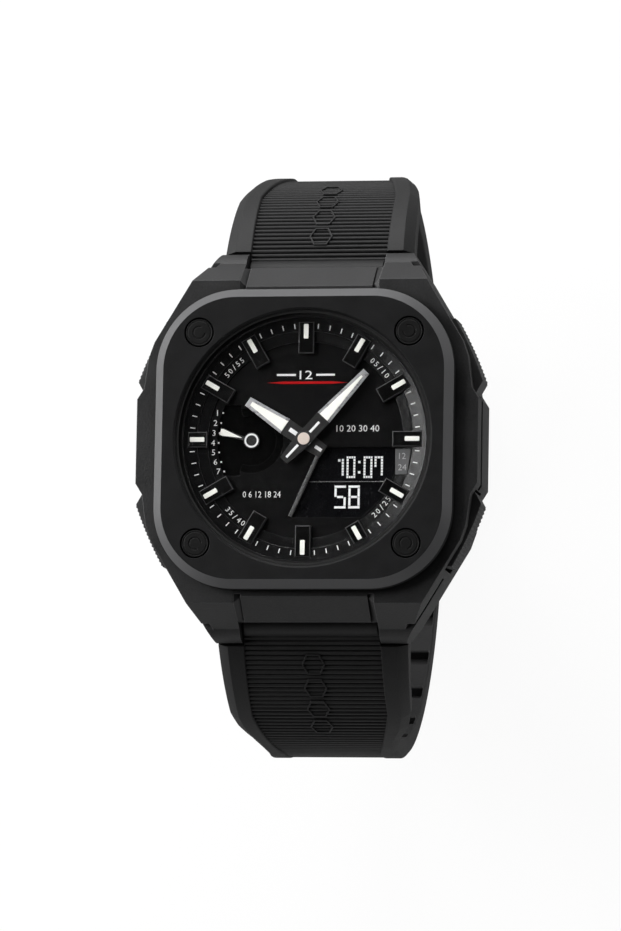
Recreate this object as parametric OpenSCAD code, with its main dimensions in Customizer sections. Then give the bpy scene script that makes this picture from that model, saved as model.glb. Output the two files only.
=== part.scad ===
// Square sports watch with analogue hands, a day sub-dial and a digital window,
// worn on a two-piece ribbed resin strap with a pin buckle.
// Origin: centre of the case back's outer face. +X is 3 o'clock, +Y is 12 o'clock, +Z faces the reader.

/* [Case] */
// Half width over the side guards
guard_half_w = 25.2; // [24.9:0.1:25.6]
// Half length of the straight part of a side guard
guard_half_l = 6.2; // [5.5:0.1:6.6]
// Height of the case's front face
case_top = 11.7; // [11.6:0.05:12]
// Radius of the rounded lug end
lug_r = 3.2; // [3:0.05:3.4]
// Distance from the dial axis to a spring bar
bar_y = 25.6; // [25.5:0.05:26.2]
// Height of the spring bars
bar_z = 3.6; // [3.5:0.05:3.8]
// Half of the gap between a pair of lugs
lug_gap_half = 10.3; // [10.25:0.05:10.6]
// Half width of the sloping block between the lugs
block_half = 9.35; // [8.5:0.05:9.8]
// Radius of the cavity that holds the module
cavity_r = 19.4; // [19.35:0.01:19.5]
// Radius of the bore that takes the dial
bore_r = 18.6; // [18.5:0.01:18.7]
// Height of the pushers' centre line
pusher_z = 7.0; // [6.9:0.05:7.1]

/* [Bezel and crystal] */
// Half width of the bezel
bezel_half = 21.92; // [21.6:0.02:22.3]
// Radius of the bezel's corners
bezel_corner = 11.92; // [10.5:0.02:12.5]
// Width of the bright 45 degree chamfer
bezel_chamfer = 1.27; // [0.8:0.01:1.4]
// Height of the bezel's top face
bezel_top = 15.5; // [15.4:0.05:16]
// Radius of the opening over the dial
opening_r = 18.74; // [18.6:0.01:19]
// Distance of a bezel bolt from both centre lines
bolt_xy = 15.45; // [15.4:0.01:15.6]
// Radius of a bezel bolt's head
bolt_head_r = 2.1; // [1.9:0.05:2.2]
// Radius of the crystal
crystal_r = 18.3; // [18.2:0.01:18.35]
// Thickness of the crystal
crystal_t = 1.0; // [0.8:0.05:1.05]

/* [Case back] */
// Half width of the case back plate
back_half = 20.9; // [20.8:0.02:21.1]
// Thickness of the case back plate
back_t = 1.5; // [1.45:0.01:1.55]
// Distance of a case back screw from both centre lines
back_screw_xy = 16.2; // [16.1:0.05:16.4]

/* [Dial] */
// Height of the dial's top face
dial_top = 12.2; // [12.15:0.01:12.25]
// Thickness of the dial
dial_t = 0.6; // [0.5:0.05:0.65]
// Radius of the dial's flat centre, where the minute ring starts
dial_flat_r = 14.4; // [14.2:0.05:14.6]
// Radius at which the hour markers end
marker_out_r = 17.2; // [16.9:0.05:17.4]
// Width of an hour marker
marker_w = 2.26; // [1.8:0.02:2.4]
// Length of an hour marker
marker_l = 4.6; // [4.2:0.05:4.8]
// Height of an hour marker over the dial
marker_h = 1.1; // [0.9:0.05:1.15]
// Distance of the day sub-dial's axis from the dial axis
day_off = 8.03; // [7.9:0.01:8.1]
// Radius of the day sub-dial's round side
day_well_r = 4.8; // [4.5:0.05:4.9]
// Radius about the dial axis of the well's outer edge
day_edge_r = 13.1; // [13:0.05:13.4]

/* [Hands] */
// Hour shown at rest
rest_hour = 10; // [0:1:11]
// Minute shown at rest
rest_minute = 7.1; // [0:0.1:59.9]
// Direction of the day hand at rest, clockwise from 12 o'clock
day_angle = 286; // [226:1:308]
// Reach of the minute hand
minute_len = 13.3; // [11.5:0.05:13.6]
// Reach of the hour hand
hour_len = 10.2; // [8.5:0.05:10.6]
// Reach of the day hand
day_len = 4.85; // [4:0.05:4.85]
// Thickness of the hands
hand_t = 0.2; // [0.15:0.01:0.22]

/* [Motion work] */
// Distance from the dial axis to the minute wheel's axis
wheel_y = 3.6; // [3.5:0.02:3.7]

/* [Pushers] */
// Angle of the press direction from the X axis
pusher_tilt = 24.5; // [24:0.1:25]
// Sideways offset of a pusher's axis from the dial axis
pusher_offset = 2.67; // [2.5:0.01:2.8]
// Distance of a pusher's outer face from the dial axis
pusher_reach = 26.93; // [26.8:0.01:27.1]
// Half length of a pusher's outer face
pusher_half_l = 5.05; // [4.6:0.05:5.15]
// Height of a pusher's head
pusher_h = 4.8; // [4.2:0.05:5]
// Travel of a pusher
pusher_travel = 0.8; // [0.5:0.05:0.85]

/* [Strap] */
// Half width of the strap at its shoulders
strap_half_top = 14.1; // [13.5:0.05:14.4]
// Half width of the strap's band
strap_half = 9.8; // [9.5:0.05:9.9]
// Distance from a spring bar out to the loop's widest place
loop_out = 18.1; // [17.8:0.1:18.6]
// Distance from a spring bar down to the loop's widest place
loop_drop = 22.3; // [22.1:0.1:22.6]
// Radius of the curve from a lug to the loop's widest place
upper_r = 24.4; // [24.3:0.05:24.6]
// Radius of the loop's sides
side_r = 36; // [35.4:0.1:36.6]
// Radius of the loop's underside
under_r = 44.6; // [44.3:0.1:45]
// Thickness of the band
strap_t = 2.8; // [2.6:0.05:2.9]
// Thickness of the strap at its shoulders
shoulder_t = 4.0; // [3.6:0.1:4.4]
// Radius of the knuckle round a spring bar
knuckle_r = 2.2; // [2:0.05:2.3]
// Distance between two ribs
rib_pitch = 0.78; // [0.74:0.01:0.9]
// Number of ribs on each half of the strap
rib_count = 27; // [10:1:27]
// Distance between two adjusting slots
slot_pitch = 7; // [6.8:0.1:7.4]
// Length of an adjusting slot
slot_l = 5.2; // [4.9:0.05:5.3]
// Width of an adjusting slot
slot_w = 2.4; // [2.2:0.05:3]

/* [Buckle] */
// Angle of the buckle's pin from the loop's lowest point
pin_angle = 11.8; // [11.4:0.1:12.2]
// Radius of the buckle's pin
pin_r = 0.75; // [0.6:0.01:0.78]
// Distance from the pin to the buckle's outer bar
buckle_l = 14; // [13.6:0.1:14.4]
// Radius of the buckle's outer bar
buckle_bar_r = 1.1; // [0.9:0.05:1.15]
// Width of the tongue
tongue_w = 2.0; // [1.6:0.05:2.1]
// Thickness of the tongue
tongue_t = 1.2; // [0.9:0.05:1.25]
// Angle over which a keeper runs
keeper_arc = 6.4; // [5:0.1:7]

/* [Hidden] */
$fn = 64;
EPS = 0.01;
// Clearances: of a turning fit, of a seat and of a loose part
run_c = 0.05;
seat_c = 0.02;
loose_c = 0.3;
link_inset = 0.96;

// Case
case_bottom = bar_z - lug_r;
lug_break_y = bar_y - 1.87;
lug_tip_x = 14.2;
lug_root_x = 17.1;
block_top_y = bar_y - 2.84;
block_low = [bar_y + 0.48, bar_z + 4.25];
knuckle_gap_r = knuckle_r + 0.7;
groove_back_y = bar_y - 3.2;
guard_groove_z = 7.0;
guard_groove_h = 1.5;
lug_groove_h = 1.2;
bar_r = 0.9;
bar_tip_r = 0.6;

// Bezel, crystal and their seats
bezel_foot_h = 1.0;
bezel_foot_in = 1.0;
crystal_top = bezel_top - 0.4;
crystal_low = crystal_top - crystal_t;
crystal_edge = 0.2;
ledge_low = crystal_low - 0.6;
ledge_r = bore_r - 0.65;
seat_r = crystal_r + 0.4;
neck_r = seat_r + 0.7;
neck_top = crystal_top - 0.25;
bore_low = case_top - 0.2;
bolt_shank_r = 0.9;
bolt_head_t = 1.4;
bolt_low = 8.4;
bolt_head_low = bezel_top - 0.05 - bolt_head_t;
back_corner = 8;
back_screw_top = 3.6;
back_screw_head_r = 1.5;
back_screw_head_t = 0.6;
gasket_groove = [19.8, 20.4];
gasket_h = 0.45;

// Dial
dial_low = dial_top - dial_t;
dial_r = bore_r - 0.1;
ring_top = ledge_low - 0.1;
day_x = -day_off;
day_half_h = 5.2;
day_square_x = -1.56;
day_step_in = 3.65;
day_step_h = 0.3;
day_dial_t = 0.7;
hub_hole_r = 1.15;
lcd_t = 1.0;
lcd_low = dial_low - lcd_t;
lcd_outline = [[2.05, -1.05], [14.5, -1.05], [14.5, -11.3], [-2.5, -11.3]];
// How much shorter the markers beside the windows are, from 12 o'clock clockwise
marker_cut = [0, 0, 0, 0.3, 0.7, 1.7, 0, 0, 0, 1.8, 0, 0];
lume_w = 0.78;
lume_len = 2.1;
lume_t = 0.08;
lume_gap = 0.25;

// Hands
minute_angle = 6 * rest_minute;
hour_angle = 30 * rest_hour + rest_minute / 2;
hour_hand_z = dial_top + 0.55;
minute_hand_z = hour_hand_z + 0.8;
day_hand_z = dial_low + 0.15;
cap_r = 0.88;
cannon_r = 0.55;
hour_tube_r = 0.95;
arbor_r = 0.35;

// Module
plate_low = 7.0;
plate_t = 0.7;
plate_top = plate_low + plate_t;
plate_r = 16.4;
shelf_r = plate_r - 1;
board_low = 4.7;
board_t = 0.6;
board_top = board_low + board_t;
battery_r = 10;
battery_t = 2.5;
battery_low = board_low - 0.1 - battery_t;
battery_xy = [3.5, 2.5];
buzzer_xy = [-8.5, -6.5];
buzzer_r = 4.6;
strip_xy = [0.3, -11.9];
strip_size = [6.6, 1.6];
gear_t = 0.4;
gear1_z = plate_top + 0.12;
gear2_z = gear1_z + gear_t + 0.2;
cannon_teeth = 12;
wheel_teeth = 36;
pinion_teeth = 10;
hour_teeth = 40;
cannon_mod = 2 * wheel_y / (cannon_teeth + wheel_teeth);
pinion_mod = 2 * wheel_y / (pinion_teeth + hour_teeth);
day_teeth = 30;
day_mod = 0.13;

// Pushers, each placed on its own axis with X running out
pusher_at = [[1, 1], [1, -1], [-1, -1], [-1, 1]];
tube_r = 1.5;
stem_r = 1.0;
stem_groove_r = 0.62;
tube_in = 18.9;
clip_r = 1.7;
clip_t = 0.4;
clip_d = tube_in - clip_t - run_c;
stem_in = clip_d - 0.6;
head_back = pusher_reach - 3.3;
pocket_d = head_back - pusher_travel - 0.2;
pocket_gap = 0.35;
pusher_ear = 1.2;
spring_seat_d = pocket_d - 1.2;
spring_head_d = head_back + 1.0;
spring_hole_r = 2.3;
ring_d = tube_in + 1.7;
ring_wire = 0.19;
spring_turns = 4;
spring_wire = 0.17;
spring_coil_r = 1.85;
spring_rings = 8 * spring_turns;
spring_from = spring_seat_d + spring_wire + seat_c;
spring_to = spring_head_d - spring_wire - seat_c;

// The strap follows three arcs: beside the case, down the side and under the wrist
upper_c = [bar_y + loop_out - upper_r, bar_z - loop_drop];
side_c = [bar_y + loop_out - side_r, upper_c.y];
under_c = [0, side_c.y + sqrt(pow(under_r - side_r, 2) - pow(side_c.x, 2))];
side_turn = 90 - atan2(side_c.x, under_c.y - side_c.y);
shoulder_at = 24;
shoulder_gap_r = lug_r + 0.4;
inner_p = (upper_r - shoulder_t) * [sin(shoulder_at), cos(shoulder_at)];
inner_shift = (pow(upper_r - strap_t, 2) - inner_p * inner_p) / (2 * (upper_r - strap_t - inner_p.x));
inner_c = upper_c + [inner_shift, 0];
inner_r = upper_r - strap_t - inner_shift;
knuckle_half = lug_gap_half - 0.2;
rib_r = 0.33;
rib_drop = 0.3;
rib_depth = 0.42;
rib_from = 21.3;
rib_step = rib_pitch / (upper_r - rib_drop) * 180 / PI;
rib_straight_to = 53;
rib_zone_to = 70.5;
rib_end_in = 1.7;
layer_gap = 0.3;
layer2_r = under_r + layer_gap + strap_t;
slot_at = pin_angle - 2.3;
slot_step = slot_pitch / (layer2_r - strap_t / 2) * 180 / PI;
ramp_from = slot_at - 2.5 * slot_step;
ramp_to = 6;
ramp_steps = 12;
tail_end = 38;
pocket_len = 3.2;
pocket_deep = 0.9;
pocket_half = strap_half - 2.5;

// Buckle, placed at its pin with Y towards the lower half and Z outwards
pin_mid_r = under_r - strap_t / 2;
pin_half = strap_half + 2.2;
buckle_half_in = strap_half + 0.4;
buckle_half_out = strap_half + 2.6;
buckle_ring_r = pin_r + 0.95;
end_knuckle_r = strap_t / 2 + 0.1;
bar_at = [buckle_l, 1.75];
tongue_ring_r = pin_r + 0.75;
notch_r = tongue_ring_r + 0.7;
tail_b = layer2_r - pin_mid_r;
tongue_rest_b = bar_at.y + buckle_bar_r + tongue_t / 2 + 0.08;
tongue_path = [[0, 0], [1.0, 1.6], [3.2, tail_b + 0.1], [4.8, tail_b + 0.85], [9.5, tail_b + 0.25],
    [buckle_l, tongue_rest_b], [buckle_l + 1.6, tongue_rest_b - 0.6]];
keeper_wall = 1.2;
fixed_keeper_at = 17;
free_keeper_at = 28;

// Draws a 2D outline given in (Y, Z) and extends it along X by half on each side
module along_x(half) {
    rotate([90, 0, 90]) translate([0, 0, -half]) linear_extrude(2 * half) children();
}

// Draws a 2D outline given in (X, Z) and extends it along Y from y0 to y1
module along_y(y0, y1) {
    translate([0, y1, 0]) rotate([90, 0, 0]) linear_extrude(y1 - y0) children();
}

module disc(r, z0, z1) {
    translate([0, 0, z0]) cylinder(h = z1 - z0, r = r);
}

module ring(r_out, r_in, z0, z1) {
    difference() {
        disc(r_out, z0, z1);
        disc(r_in, z0 - 1, z1 + 1);
    }
}

module rounded_square(half, r) {
    square([2 * half, 2 * (half - r)], center = true);
    square([2 * (half - r), 2 * half], center = true);
    for (x = [-1, 1], y = [-1, 1]) translate([x, y] * (half - r)) circle(r);
}

module rounded_rect(low, high, r) {
    translate([low.x + r, low.y]) square([high.x - low.x - 2 * r, high.y - low.y]);
    translate([low.x, low.y + r]) square([high.x - low.x, high.y - low.y - 2 * r]);
    for (x = [low.x + r, high.x - r], y = [low.y + r, high.y - r]) translate([x, y]) circle(r);
}

// Outline of two circles joined by straight edges that lie just inside their outer tangents
function link_edge(p, r, angle) = p + link_inset * r * [cos(angle), sin(angle)];
module link(p0, r0, p1, r1) {
    along = atan2(p1.y - p0.y, p1.x - p0.x);
    turn = acos((r0 - r1) / norm(p1 - p0));
    polygon([link_edge(p0, r0, along + turn), link_edge(p0, r0, along - turn),
        link_edge(p1, r1, along - turn), link_edge(p1, r1, along + turn)]);
    translate(p0) circle(r0);
    translate(p1) circle(r1);
}

// Direction from an arc's centre: 0 is up, 90 is outwards, 180 is down
function on_arc(c, r, a) = [c.x + r * sin(a), c.y + r * cos(a)];

// Sector of a ring between two directions less than 180 degrees apart
module sector(c, r_in, r_out, a0, a1) {
    far = 3 * r_out;
    intersection() {
        translate(c) difference() {
            circle(r_out);
            circle(r_in);
        }
        polygon([c, on_arc(c, far, a0), on_arc(c, far, (a0 + a1) / 2), on_arc(c, far, a1)]);
    }
}

module corners(xy) {
    for (x = [-1, 1], y = [-1, 1]) translate([x * xy, y * xy, 0]) children();
}

module both_ends() {
    children();
    mirror([0, 1, 0]) children();
}

module both_sides() {
    children();
    mirror([1, 0, 0]) children();
}

// Turns what points to 12 o'clock to the given clock angle
module clock(angle) {
    rotate([0, 0, -angle]) children();
}

function mirrored(outline, x, y) = [for (p = outline) [x * p.x, y * p.y]];
function reversed(outline) = [for (i = [len(outline) - 1:-1:0]) outline[i]];

// Case shell
case_quadrant = [[guard_half_w, guard_half_l], [guard_half_w - 1, guard_half_l + 1.6],
    [guard_half_w - 1.6, 12.3], [guard_half_w - 2.4, 14.6], [lug_root_x, lug_break_y + 0.4],
    [lug_tip_x, bar_y + lug_r]];

module case_outline() {
    polygon(concat(case_quadrant, reversed(mirrored(case_quadrant, -1, 1)),
        mirrored(case_quadrant, -1, -1), reversed(mirrored(case_quadrant, 1, -1))));
}

module case_side() {
    polygon([[-bar_y - lug_r, bar_z], [-lug_break_y, case_top], [lug_break_y, case_top],
        [bar_y + lug_r, bar_z], [bar_y, case_bottom], [-bar_y, case_bottom]]);
    for (y = [-bar_y, bar_y]) translate([y, bar_z]) circle(lug_r);
}

// What is open between two lugs, where the strap's knuckle turns under the sloping block
module lug_gap() {
    far = 60;
    along_x(lug_gap_half) {
        polygon([[block_top_y, case_top], [block_top_y, far], [far, far], [far, -far], [bar_y, -far],
            [bar_y, bar_z + knuckle_gap_r], [block_low.x, bar_z + knuckle_gap_r], block_low]);
        translate([bar_y, bar_z]) circle(knuckle_gap_r);
        translate([bar_y - knuckle_gap_r, -far]) square([knuckle_gap_r + 1, far + bar_z]);
    }
    both_sides() translate([block_half, groove_back_y, -1])
        cube([lug_gap_half - block_half, 20, case_top + 2]);
    along_x(lug_gap_half + 1.6) translate([bar_y, bar_z]) circle(bar_tip_r + run_c);
}

// Places children on the axis of one pusher
module pusher_axis(q) {
    mirror([q.x < 0 ? 1 : 0, 0, 0]) mirror([0, q.y < 0 ? 1 : 0, 0])
        rotate([0, 0, pusher_tilt]) translate([0, pusher_offset, pusher_z]) children();
}

module out_cylinder(d0, d1, r) {
    translate([d0, 0, 0]) rotate([0, 90, 0]) cylinder(h = d1 - d0, r = r);
}

module out_ring(r_out, r_in, d0, d1) {
    rotate([0, 90, 0]) ring(r_out, r_in, d0, d1);
}

module pusher_pocket() {
    translate([pocket_d, -pusher_half_l - pusher_ear - pocket_gap, -pusher_h / 2 - pocket_gap])
        cube([20, 2 * pusher_half_l + 2 * pusher_ear, pusher_h + 2 * pocket_gap]);
    out_cylinder(spring_seat_d, pocket_d + EPS, spring_hole_r);
    out_cylinder(tube_in - 5, pocket_d, tube_r + seat_c);
}

module case_shell() {
    color([0.09, 0.09, 0.09]) difference() {
        union() {
            intersection() {
                linear_extrude(case_top + 1) case_outline();
                along_x(40) case_side();
            }
            disc(neck_r, case_top - 1, neck_top);
        }
        disc(cavity_r, -1, bore_low);
        disc(bore_r, 0, ledge_low);
        disc(ledge_r, 0, 30);
        disc(seat_r, crystal_low, 30);
        translate([0, 0, -1]) linear_extrude(1 + back_t) rounded_square(back_half + 0.1, back_corner);
        ring(gasket_groove[1], gasket_groove[0], back_t - 1, back_t + gasket_h);
        both_ends() lug_gap();
        for (q = pusher_at) pusher_axis(q) pusher_pocket();
        corners(bolt_xy) disc(bolt_shank_r + seat_c, bolt_low - 0.3, 30);
        corners(back_screw_xy) disc(bolt_shank_r + seat_c, 0, back_screw_top + 0.2);
        both_sides() translate([guard_half_w - 1.2, -guard_half_l - 0.7, guard_groove_z])
            cube([5, 2 * guard_half_l + 1.4, guard_groove_h]);
        both_ends() both_sides() translate([lug_root_x, lug_break_y + 0.4, guard_groove_z - 0.6])
            rotate([0, 0, 121]) translate([-5.2, -3, 0]) cube([14, 4, lug_groove_h]);
    }
}

// Bezel
module bezel() {
    half_mid = bezel_half - bezel_corner;
    top_half = bezel_half - bezel_chamfer;
    chamfer_z = bezel_top - bezel_chamfer;
    foot_top = case_top + bezel_foot_h;
    lip = 0.3;
    trapezoid = [[-bezel_half, chamfer_z], [bezel_half, chamfer_z], [top_half, bezel_top],
        [-top_half, bezel_top]];
    color([0.1, 0.1, 0.1]) difference() {
        union() {
            translate([0, 0, case_top]) linear_extrude(bezel_foot_h + EPS)
                rounded_square(bezel_half - bezel_foot_in, bezel_corner - bezel_foot_in);
            translate([0, 0, foot_top]) linear_extrude(chamfer_z - foot_top)
                rounded_square(bezel_half, bezel_corner);
            along_x(half_mid) polygon(trapezoid);
            along_y(-half_mid, half_mid) polygon(trapezoid);
            corners(half_mid) translate([0, 0, chamfer_z])
                cylinder(h = bezel_chamfer, r1 = bezel_corner, r2 = bezel_corner - bezel_chamfer);
        }
        disc(neck_r + 0.1, 0, neck_top + 0.05);
        disc(opening_r, 0, 30);
        translate([0, 0, bezel_top - lip]) cylinder(h = lip + EPS, r1 = opening_r, r2 = opening_r + lip);
        corners(bolt_xy) {
            disc(bolt_shank_r + 0.1, 0, 30);
            disc(bolt_head_r + 0.1, bolt_head_low, 30);
        }
    }
}

module bezel_bolts() {
    bolt_top = bolt_head_low + bolt_head_t;
    color([0.08, 0.08, 0.08]) corners(bolt_xy) difference() {
        union() {
            disc(bolt_shank_r, bolt_low, bolt_head_low + EPS);
            disc(bolt_head_r, bolt_head_low, bolt_top);
        }
        ring(bolt_head_r - 0.35, bolt_head_r - 0.6, bolt_top - 0.2, bolt_top + 1);
        translate([0, 0, bolt_top - 0.75]) cylinder(h = 5, r = 0.85, $fn = 6);
    }
}

module crystal() {
    color([0.75, 0.8, 0.85, 0.3]) rotate_extrude() polygon([[0, crystal_low], [crystal_r, crystal_low],
        [crystal_r, crystal_top - crystal_edge], [crystal_r - crystal_edge, crystal_top],
        [0, crystal_top]]);
}

module crystal_gasket() {
    color([0.05, 0.05, 0.05]) ring(seat_r - seat_c, crystal_r + seat_c, crystal_low, neck_top);
}

// Case back
module case_back() {
    color([0.6, 0.6, 0.6]) difference() {
        linear_extrude(back_t) rounded_square(back_half, back_corner);
        corners(back_screw_xy) {
            disc(bolt_shank_r + 0.1, -1, 10);
            disc(back_screw_head_r + 0.1, -1, back_screw_head_t + 0.05);
        }
    }
}

module case_back_gasket() {
    color([0.05, 0.05, 0.05])
        ring(gasket_groove[1] - seat_c, gasket_groove[0] + seat_c, back_t, back_t + gasket_h - seat_c);
}

module case_back_screws() {
    color([0.65, 0.65, 0.65]) corners(back_screw_xy) difference() {
        union() {
            disc(back_screw_head_r, 0.05, back_screw_head_t + 0.05);
            disc(bolt_shank_r, back_screw_head_t, back_screw_top);
        }
        translate([-2, -0.15, -0.1]) cube([4, 0.3, 0.4]);
    }
}

// Dial side
module lcd_window(grow) {
    intersection() {
        polygon([lcd_outline[0] + [-grow, grow], lcd_outline[1] + [0, grow],
            lcd_outline[2] + [0, -grow], lcd_outline[3] + [-1.5 * grow, -grow]]);
        circle(dial_flat_r - 0.4 + 1.2 * grow);
    }
}

module day_window(grow) {
    translate([day_x, 0]) circle(day_well_r + grow);
    intersection() {
        circle(day_edge_r + grow);
        translate([day_x - 8, -day_half_h - grow])
            square([8 + day_square_x + grow, 2 * (day_half_h + grow)]);
    }
}

module dial_plate() {
    color([0.07, 0.07, 0.07]) translate([0, 0, dial_low]) linear_extrude(dial_t) difference() {
        circle(dial_r);
        lcd_window(0);
        day_window(0);
        circle(hub_hole_r);
    }
}

module day_dial() {
    color([0.04, 0.04, 0.04]) {
        translate([0, 0, dial_low - day_dial_t]) linear_extrude(day_dial_t) difference() {
            day_window(0.7);
            translate([day_x, 0]) circle(arbor_r + run_c);
            lcd_window(1);
            circle(hub_hole_r);
        }
        // Raised crescent round the right side of the well
        translate([0, 0, dial_low - EPS]) linear_extrude(day_step_h) {
            sector([day_x, 0], day_step_in, day_well_r - run_c, -20, 91);
            sector([day_x, 0], day_step_in, day_well_r - run_c, 90, 200);
        }
    }
}

module marker_box(i, grow) {
    length = marker_l - marker_cut[i];
    clock(30 * i) translate([-marker_w / 2 - grow, marker_out_r - length - grow, dial_top - grow])
        cube([marker_w + 2 * grow, length + 2 * grow, marker_h + 2 * grow]);
}

module minute_ring() {
    color([0.08, 0.08, 0.08]) difference() {
        rotate_extrude() polygon([[dial_flat_r, dial_top], [dial_flat_r, dial_top + 0.3],
            [15.9, dial_top + 0.45], [15.95, dial_top + 0.7], [ledge_r - 0.05, ring_top - 0.1],
            [ledge_r, ring_top], [dial_r, ring_top], [dial_r, dial_top]]);
        for (i = [0:11]) marker_box(i, seat_c);
    }
}

module hour_markers() {
    color([0.04, 0.04, 0.04]) for (i = [0:11]) marker_box(i, 0);
}

module hour_lume() {
    out_r = marker_out_r - lume_gap - lume_w / 2;
    in_r = out_r - lume_len + lume_w;
    color([0.95, 0.95, 0.9]) for (i = [0:11]) clock(30 * i)
        translate([0, 0, dial_top + marker_h]) linear_extrude(lume_t) {
            translate([-lume_w / 2, in_r]) square([lume_w, out_r - in_r]);
            for (y = [in_r, out_r]) translate([0, y]) circle(lume_w / 2);
        }
}

module lcd_panel() {
    color([0.02, 0.02, 0.03]) translate([0, 0, lcd_low]) linear_extrude(lcd_t) difference() {
        lcd_window(0.8);
        circle(hour_tube_r + 0.35);
    }
}

// Bright bevel along the window's slanted edge and the thin bar between its two lines
module lcd_frame() {
    rise = lcd_outline[0] - lcd_outline[3];
    color([0.35, 0.35, 0.35]) {
        translate([lcd_outline[3].x, lcd_outline[3].y, dial_low]) rotate([0, 0, atan2(rise.y, rise.x)])
            translate([0.3, -0.5, 0]) cube([norm(rise) - 1.4, 0.45, dial_t + 0.12]);
        translate([0.6, -6.1, dial_low]) cube([11.1, 0.12, 0.1]);
    }
}

module strip_space(z0, z1) {
    translate([strip_xy.x - 0.3, strip_xy.y - 0.4, z0])
        cube([strip_size.x + 0.6, strip_size.y + 0.6, z1 - z0]);
}

module light_guide() {
    color([0.8, 0.85, 0.85, 0.6]) difference() {
        translate([0, 0, plate_top]) linear_extrude(lcd_low - plate_top) lcd_window(0.4);
        disc(wheel_y, 0, 30);
        strip_space(plate_top - 1, 30);
    }
}

module zebra_strip() {
    color([0.85, 0.6, 0.65]) translate([strip_xy.x, strip_xy.y, board_top])
        cube([strip_size.x, strip_size.y, lcd_low - board_top]);
}

// Module
module movement_holder() {
    color([0.85, 0.85, 0.82]) difference() {
        union() {
            disc(cavity_r - 0.2, back_t + 0.1, bore_low - 0.1);
            disc(dial_r, bore_low - 0.2, dial_low);
        }
        disc(shelf_r, 0, 30);
        disc(plate_r + 0.05, plate_low, 30);
        disc(plate_r + 0.05, 0, board_top);
        for (q = pusher_at) pusher_axis(q) translate([10, -2.6, -2.6]) cube([12, 5.2, 5.2]);
    }
}

module movement_plate() {
    color([0.78, 0.62, 0.3]) difference() {
        disc(plate_r, plate_low, plate_top);
        disc(arbor_r + run_c, 0, 30);
        translate([0, wheel_y, 0]) disc(arbor_r + run_c, 0, 30);
        translate([day_x, 0, 0]) disc(arbor_r + run_c, 0, 30);
        strip_space(0, 30);
    }
}

module circuit_board() {
    color([0.05, 0.3, 0.15]) disc(plate_r, board_low, board_top);
}

// Coil between its end cheeks, the stator plate and the rotor in its round hole
module step_motor() {
    coil_half = 3.4;
    cheek_t = 0.5;
    along_x(coil_half) translate([0, board_top + 0.8]) circle(0.78);
    both_sides() translate([coil_half, -0.8, board_top]) cube([cheek_t, 1.6, 1.6]);
    difference() {
        translate([-coil_half - cheek_t, 0.75, board_top]) cube([2 * (coil_half + cheek_t), 3.2, 0.5]);
        translate([0, 2.4, 0]) disc(1.1, 0, 30);
    }
    translate([0, 2.4, 0]) disc(0.95, board_top, board_top + 0.9);
}

module step_motors() {
    color([0.75, 0.4, 0.2]) {
        translate([6.5, 6.5, 0]) rotate([0, 0, -35]) step_motor();
        translate([-6.5, -6.5, 0]) rotate([0, 0, 145]) step_motor();
    }
}

module battery() {
    color([0.75, 0.76, 0.78]) translate([battery_xy.x, battery_xy.y, battery_low]) {
        cylinder(h = battery_t - 0.6, r = battery_r);
        cylinder(h = battery_t, r = battery_r - 0.8);
    }
}

module battery_clip() {
    strip_t = 0.2;
    low = battery_low - strip_t - seat_c;
    color([0.8, 0.8, 0.8]) translate([battery_xy.x - battery_r - 0.6, battery_xy.y - 1.5, low]) {
        cube([2 * battery_r - 1, 3, strip_t]);
        cube([2 * strip_t, 3, board_low - low]);
    }
}

module buzzer() {
    color([0.8, 0.65, 0.3]) translate([buzzer_xy.x, buzzer_xy.y, 0]) {
        disc(buzzer_r, back_t, back_t + 0.15);
        disc(buzzer_r - 1.2, back_t, back_t + 0.3);
        disc(0.4, back_t, board_low);
    }
}

// Hands, drawn towards 12 o'clock
module hand_shape(stem_w, base, base_w, tip, tip_w, tail, tail_w, hub_r) {
    polygon([[-base_w / 2, base], [base_w / 2, base], [tip_w / 2, tip], [-tip_w / 2, tip]]);
    polygon([[-stem_w / 2, 0], [stem_w / 2, 0], [base_w / 2, base], [-base_w / 2, base]]);
    polygon([[-stem_w / 2, 0], [-tail_w / 2, -tail], [tail_w / 2, -tail], [stem_w / 2, 0]]);
    circle(hub_r);
}

module minute_hand() {
    color([0.7, 0.7, 0.68]) clock(minute_angle) translate([0, 0, minute_hand_z])
        linear_extrude(hand_t) difference() {
            hand_shape(2.2, 4.2, 2.3, minute_len, 1.1, 4.27, 1.33, 1.15);
            circle(cannon_r + seat_c);
        }
}

module minute_arbor() {
    color([0.75, 0.75, 0.72]) clock(minute_angle) {
        disc(arbor_r, board_top + 1.2, gear1_z + EPS);
        translate([0, 0, gear1_z]) linear_extrude(gear_t) gear_outline(cannon_teeth, cannon_mod, 0);
        disc(cannon_r, gear1_z, minute_hand_z + hand_t);
        disc(1.0, hour_hand_z + hand_t + 0.1, minute_hand_z);
    }
}

module hand_cap() {
    color([0.8, 0.74, 0.68]) disc(cap_r, minute_hand_z + hand_t, minute_hand_z + hand_t + 0.2);
}

module hour_hand() {
    color([0.7, 0.7, 0.68]) clock(hour_angle) translate([0, 0, hour_hand_z])
        linear_extrude(hand_t) difference() {
            hand_shape(2.3, 3.5, 2.45, hour_len, 1.45, 3.3, 1.97, 1.4);
            circle(hour_tube_r + seat_c);
        }
}

module hour_wheel() {
    color([0.8, 0.65, 0.3]) difference() {
        union() {
            translate([0, 0, gear2_z]) linear_extrude(gear_t) gear_outline(hour_teeth, pinion_mod, 0);
            disc(hour_tube_r, gear2_z, hour_hand_z + hand_t);
        }
        disc(cannon_r + run_c, 0, 30);
    }
}

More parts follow.
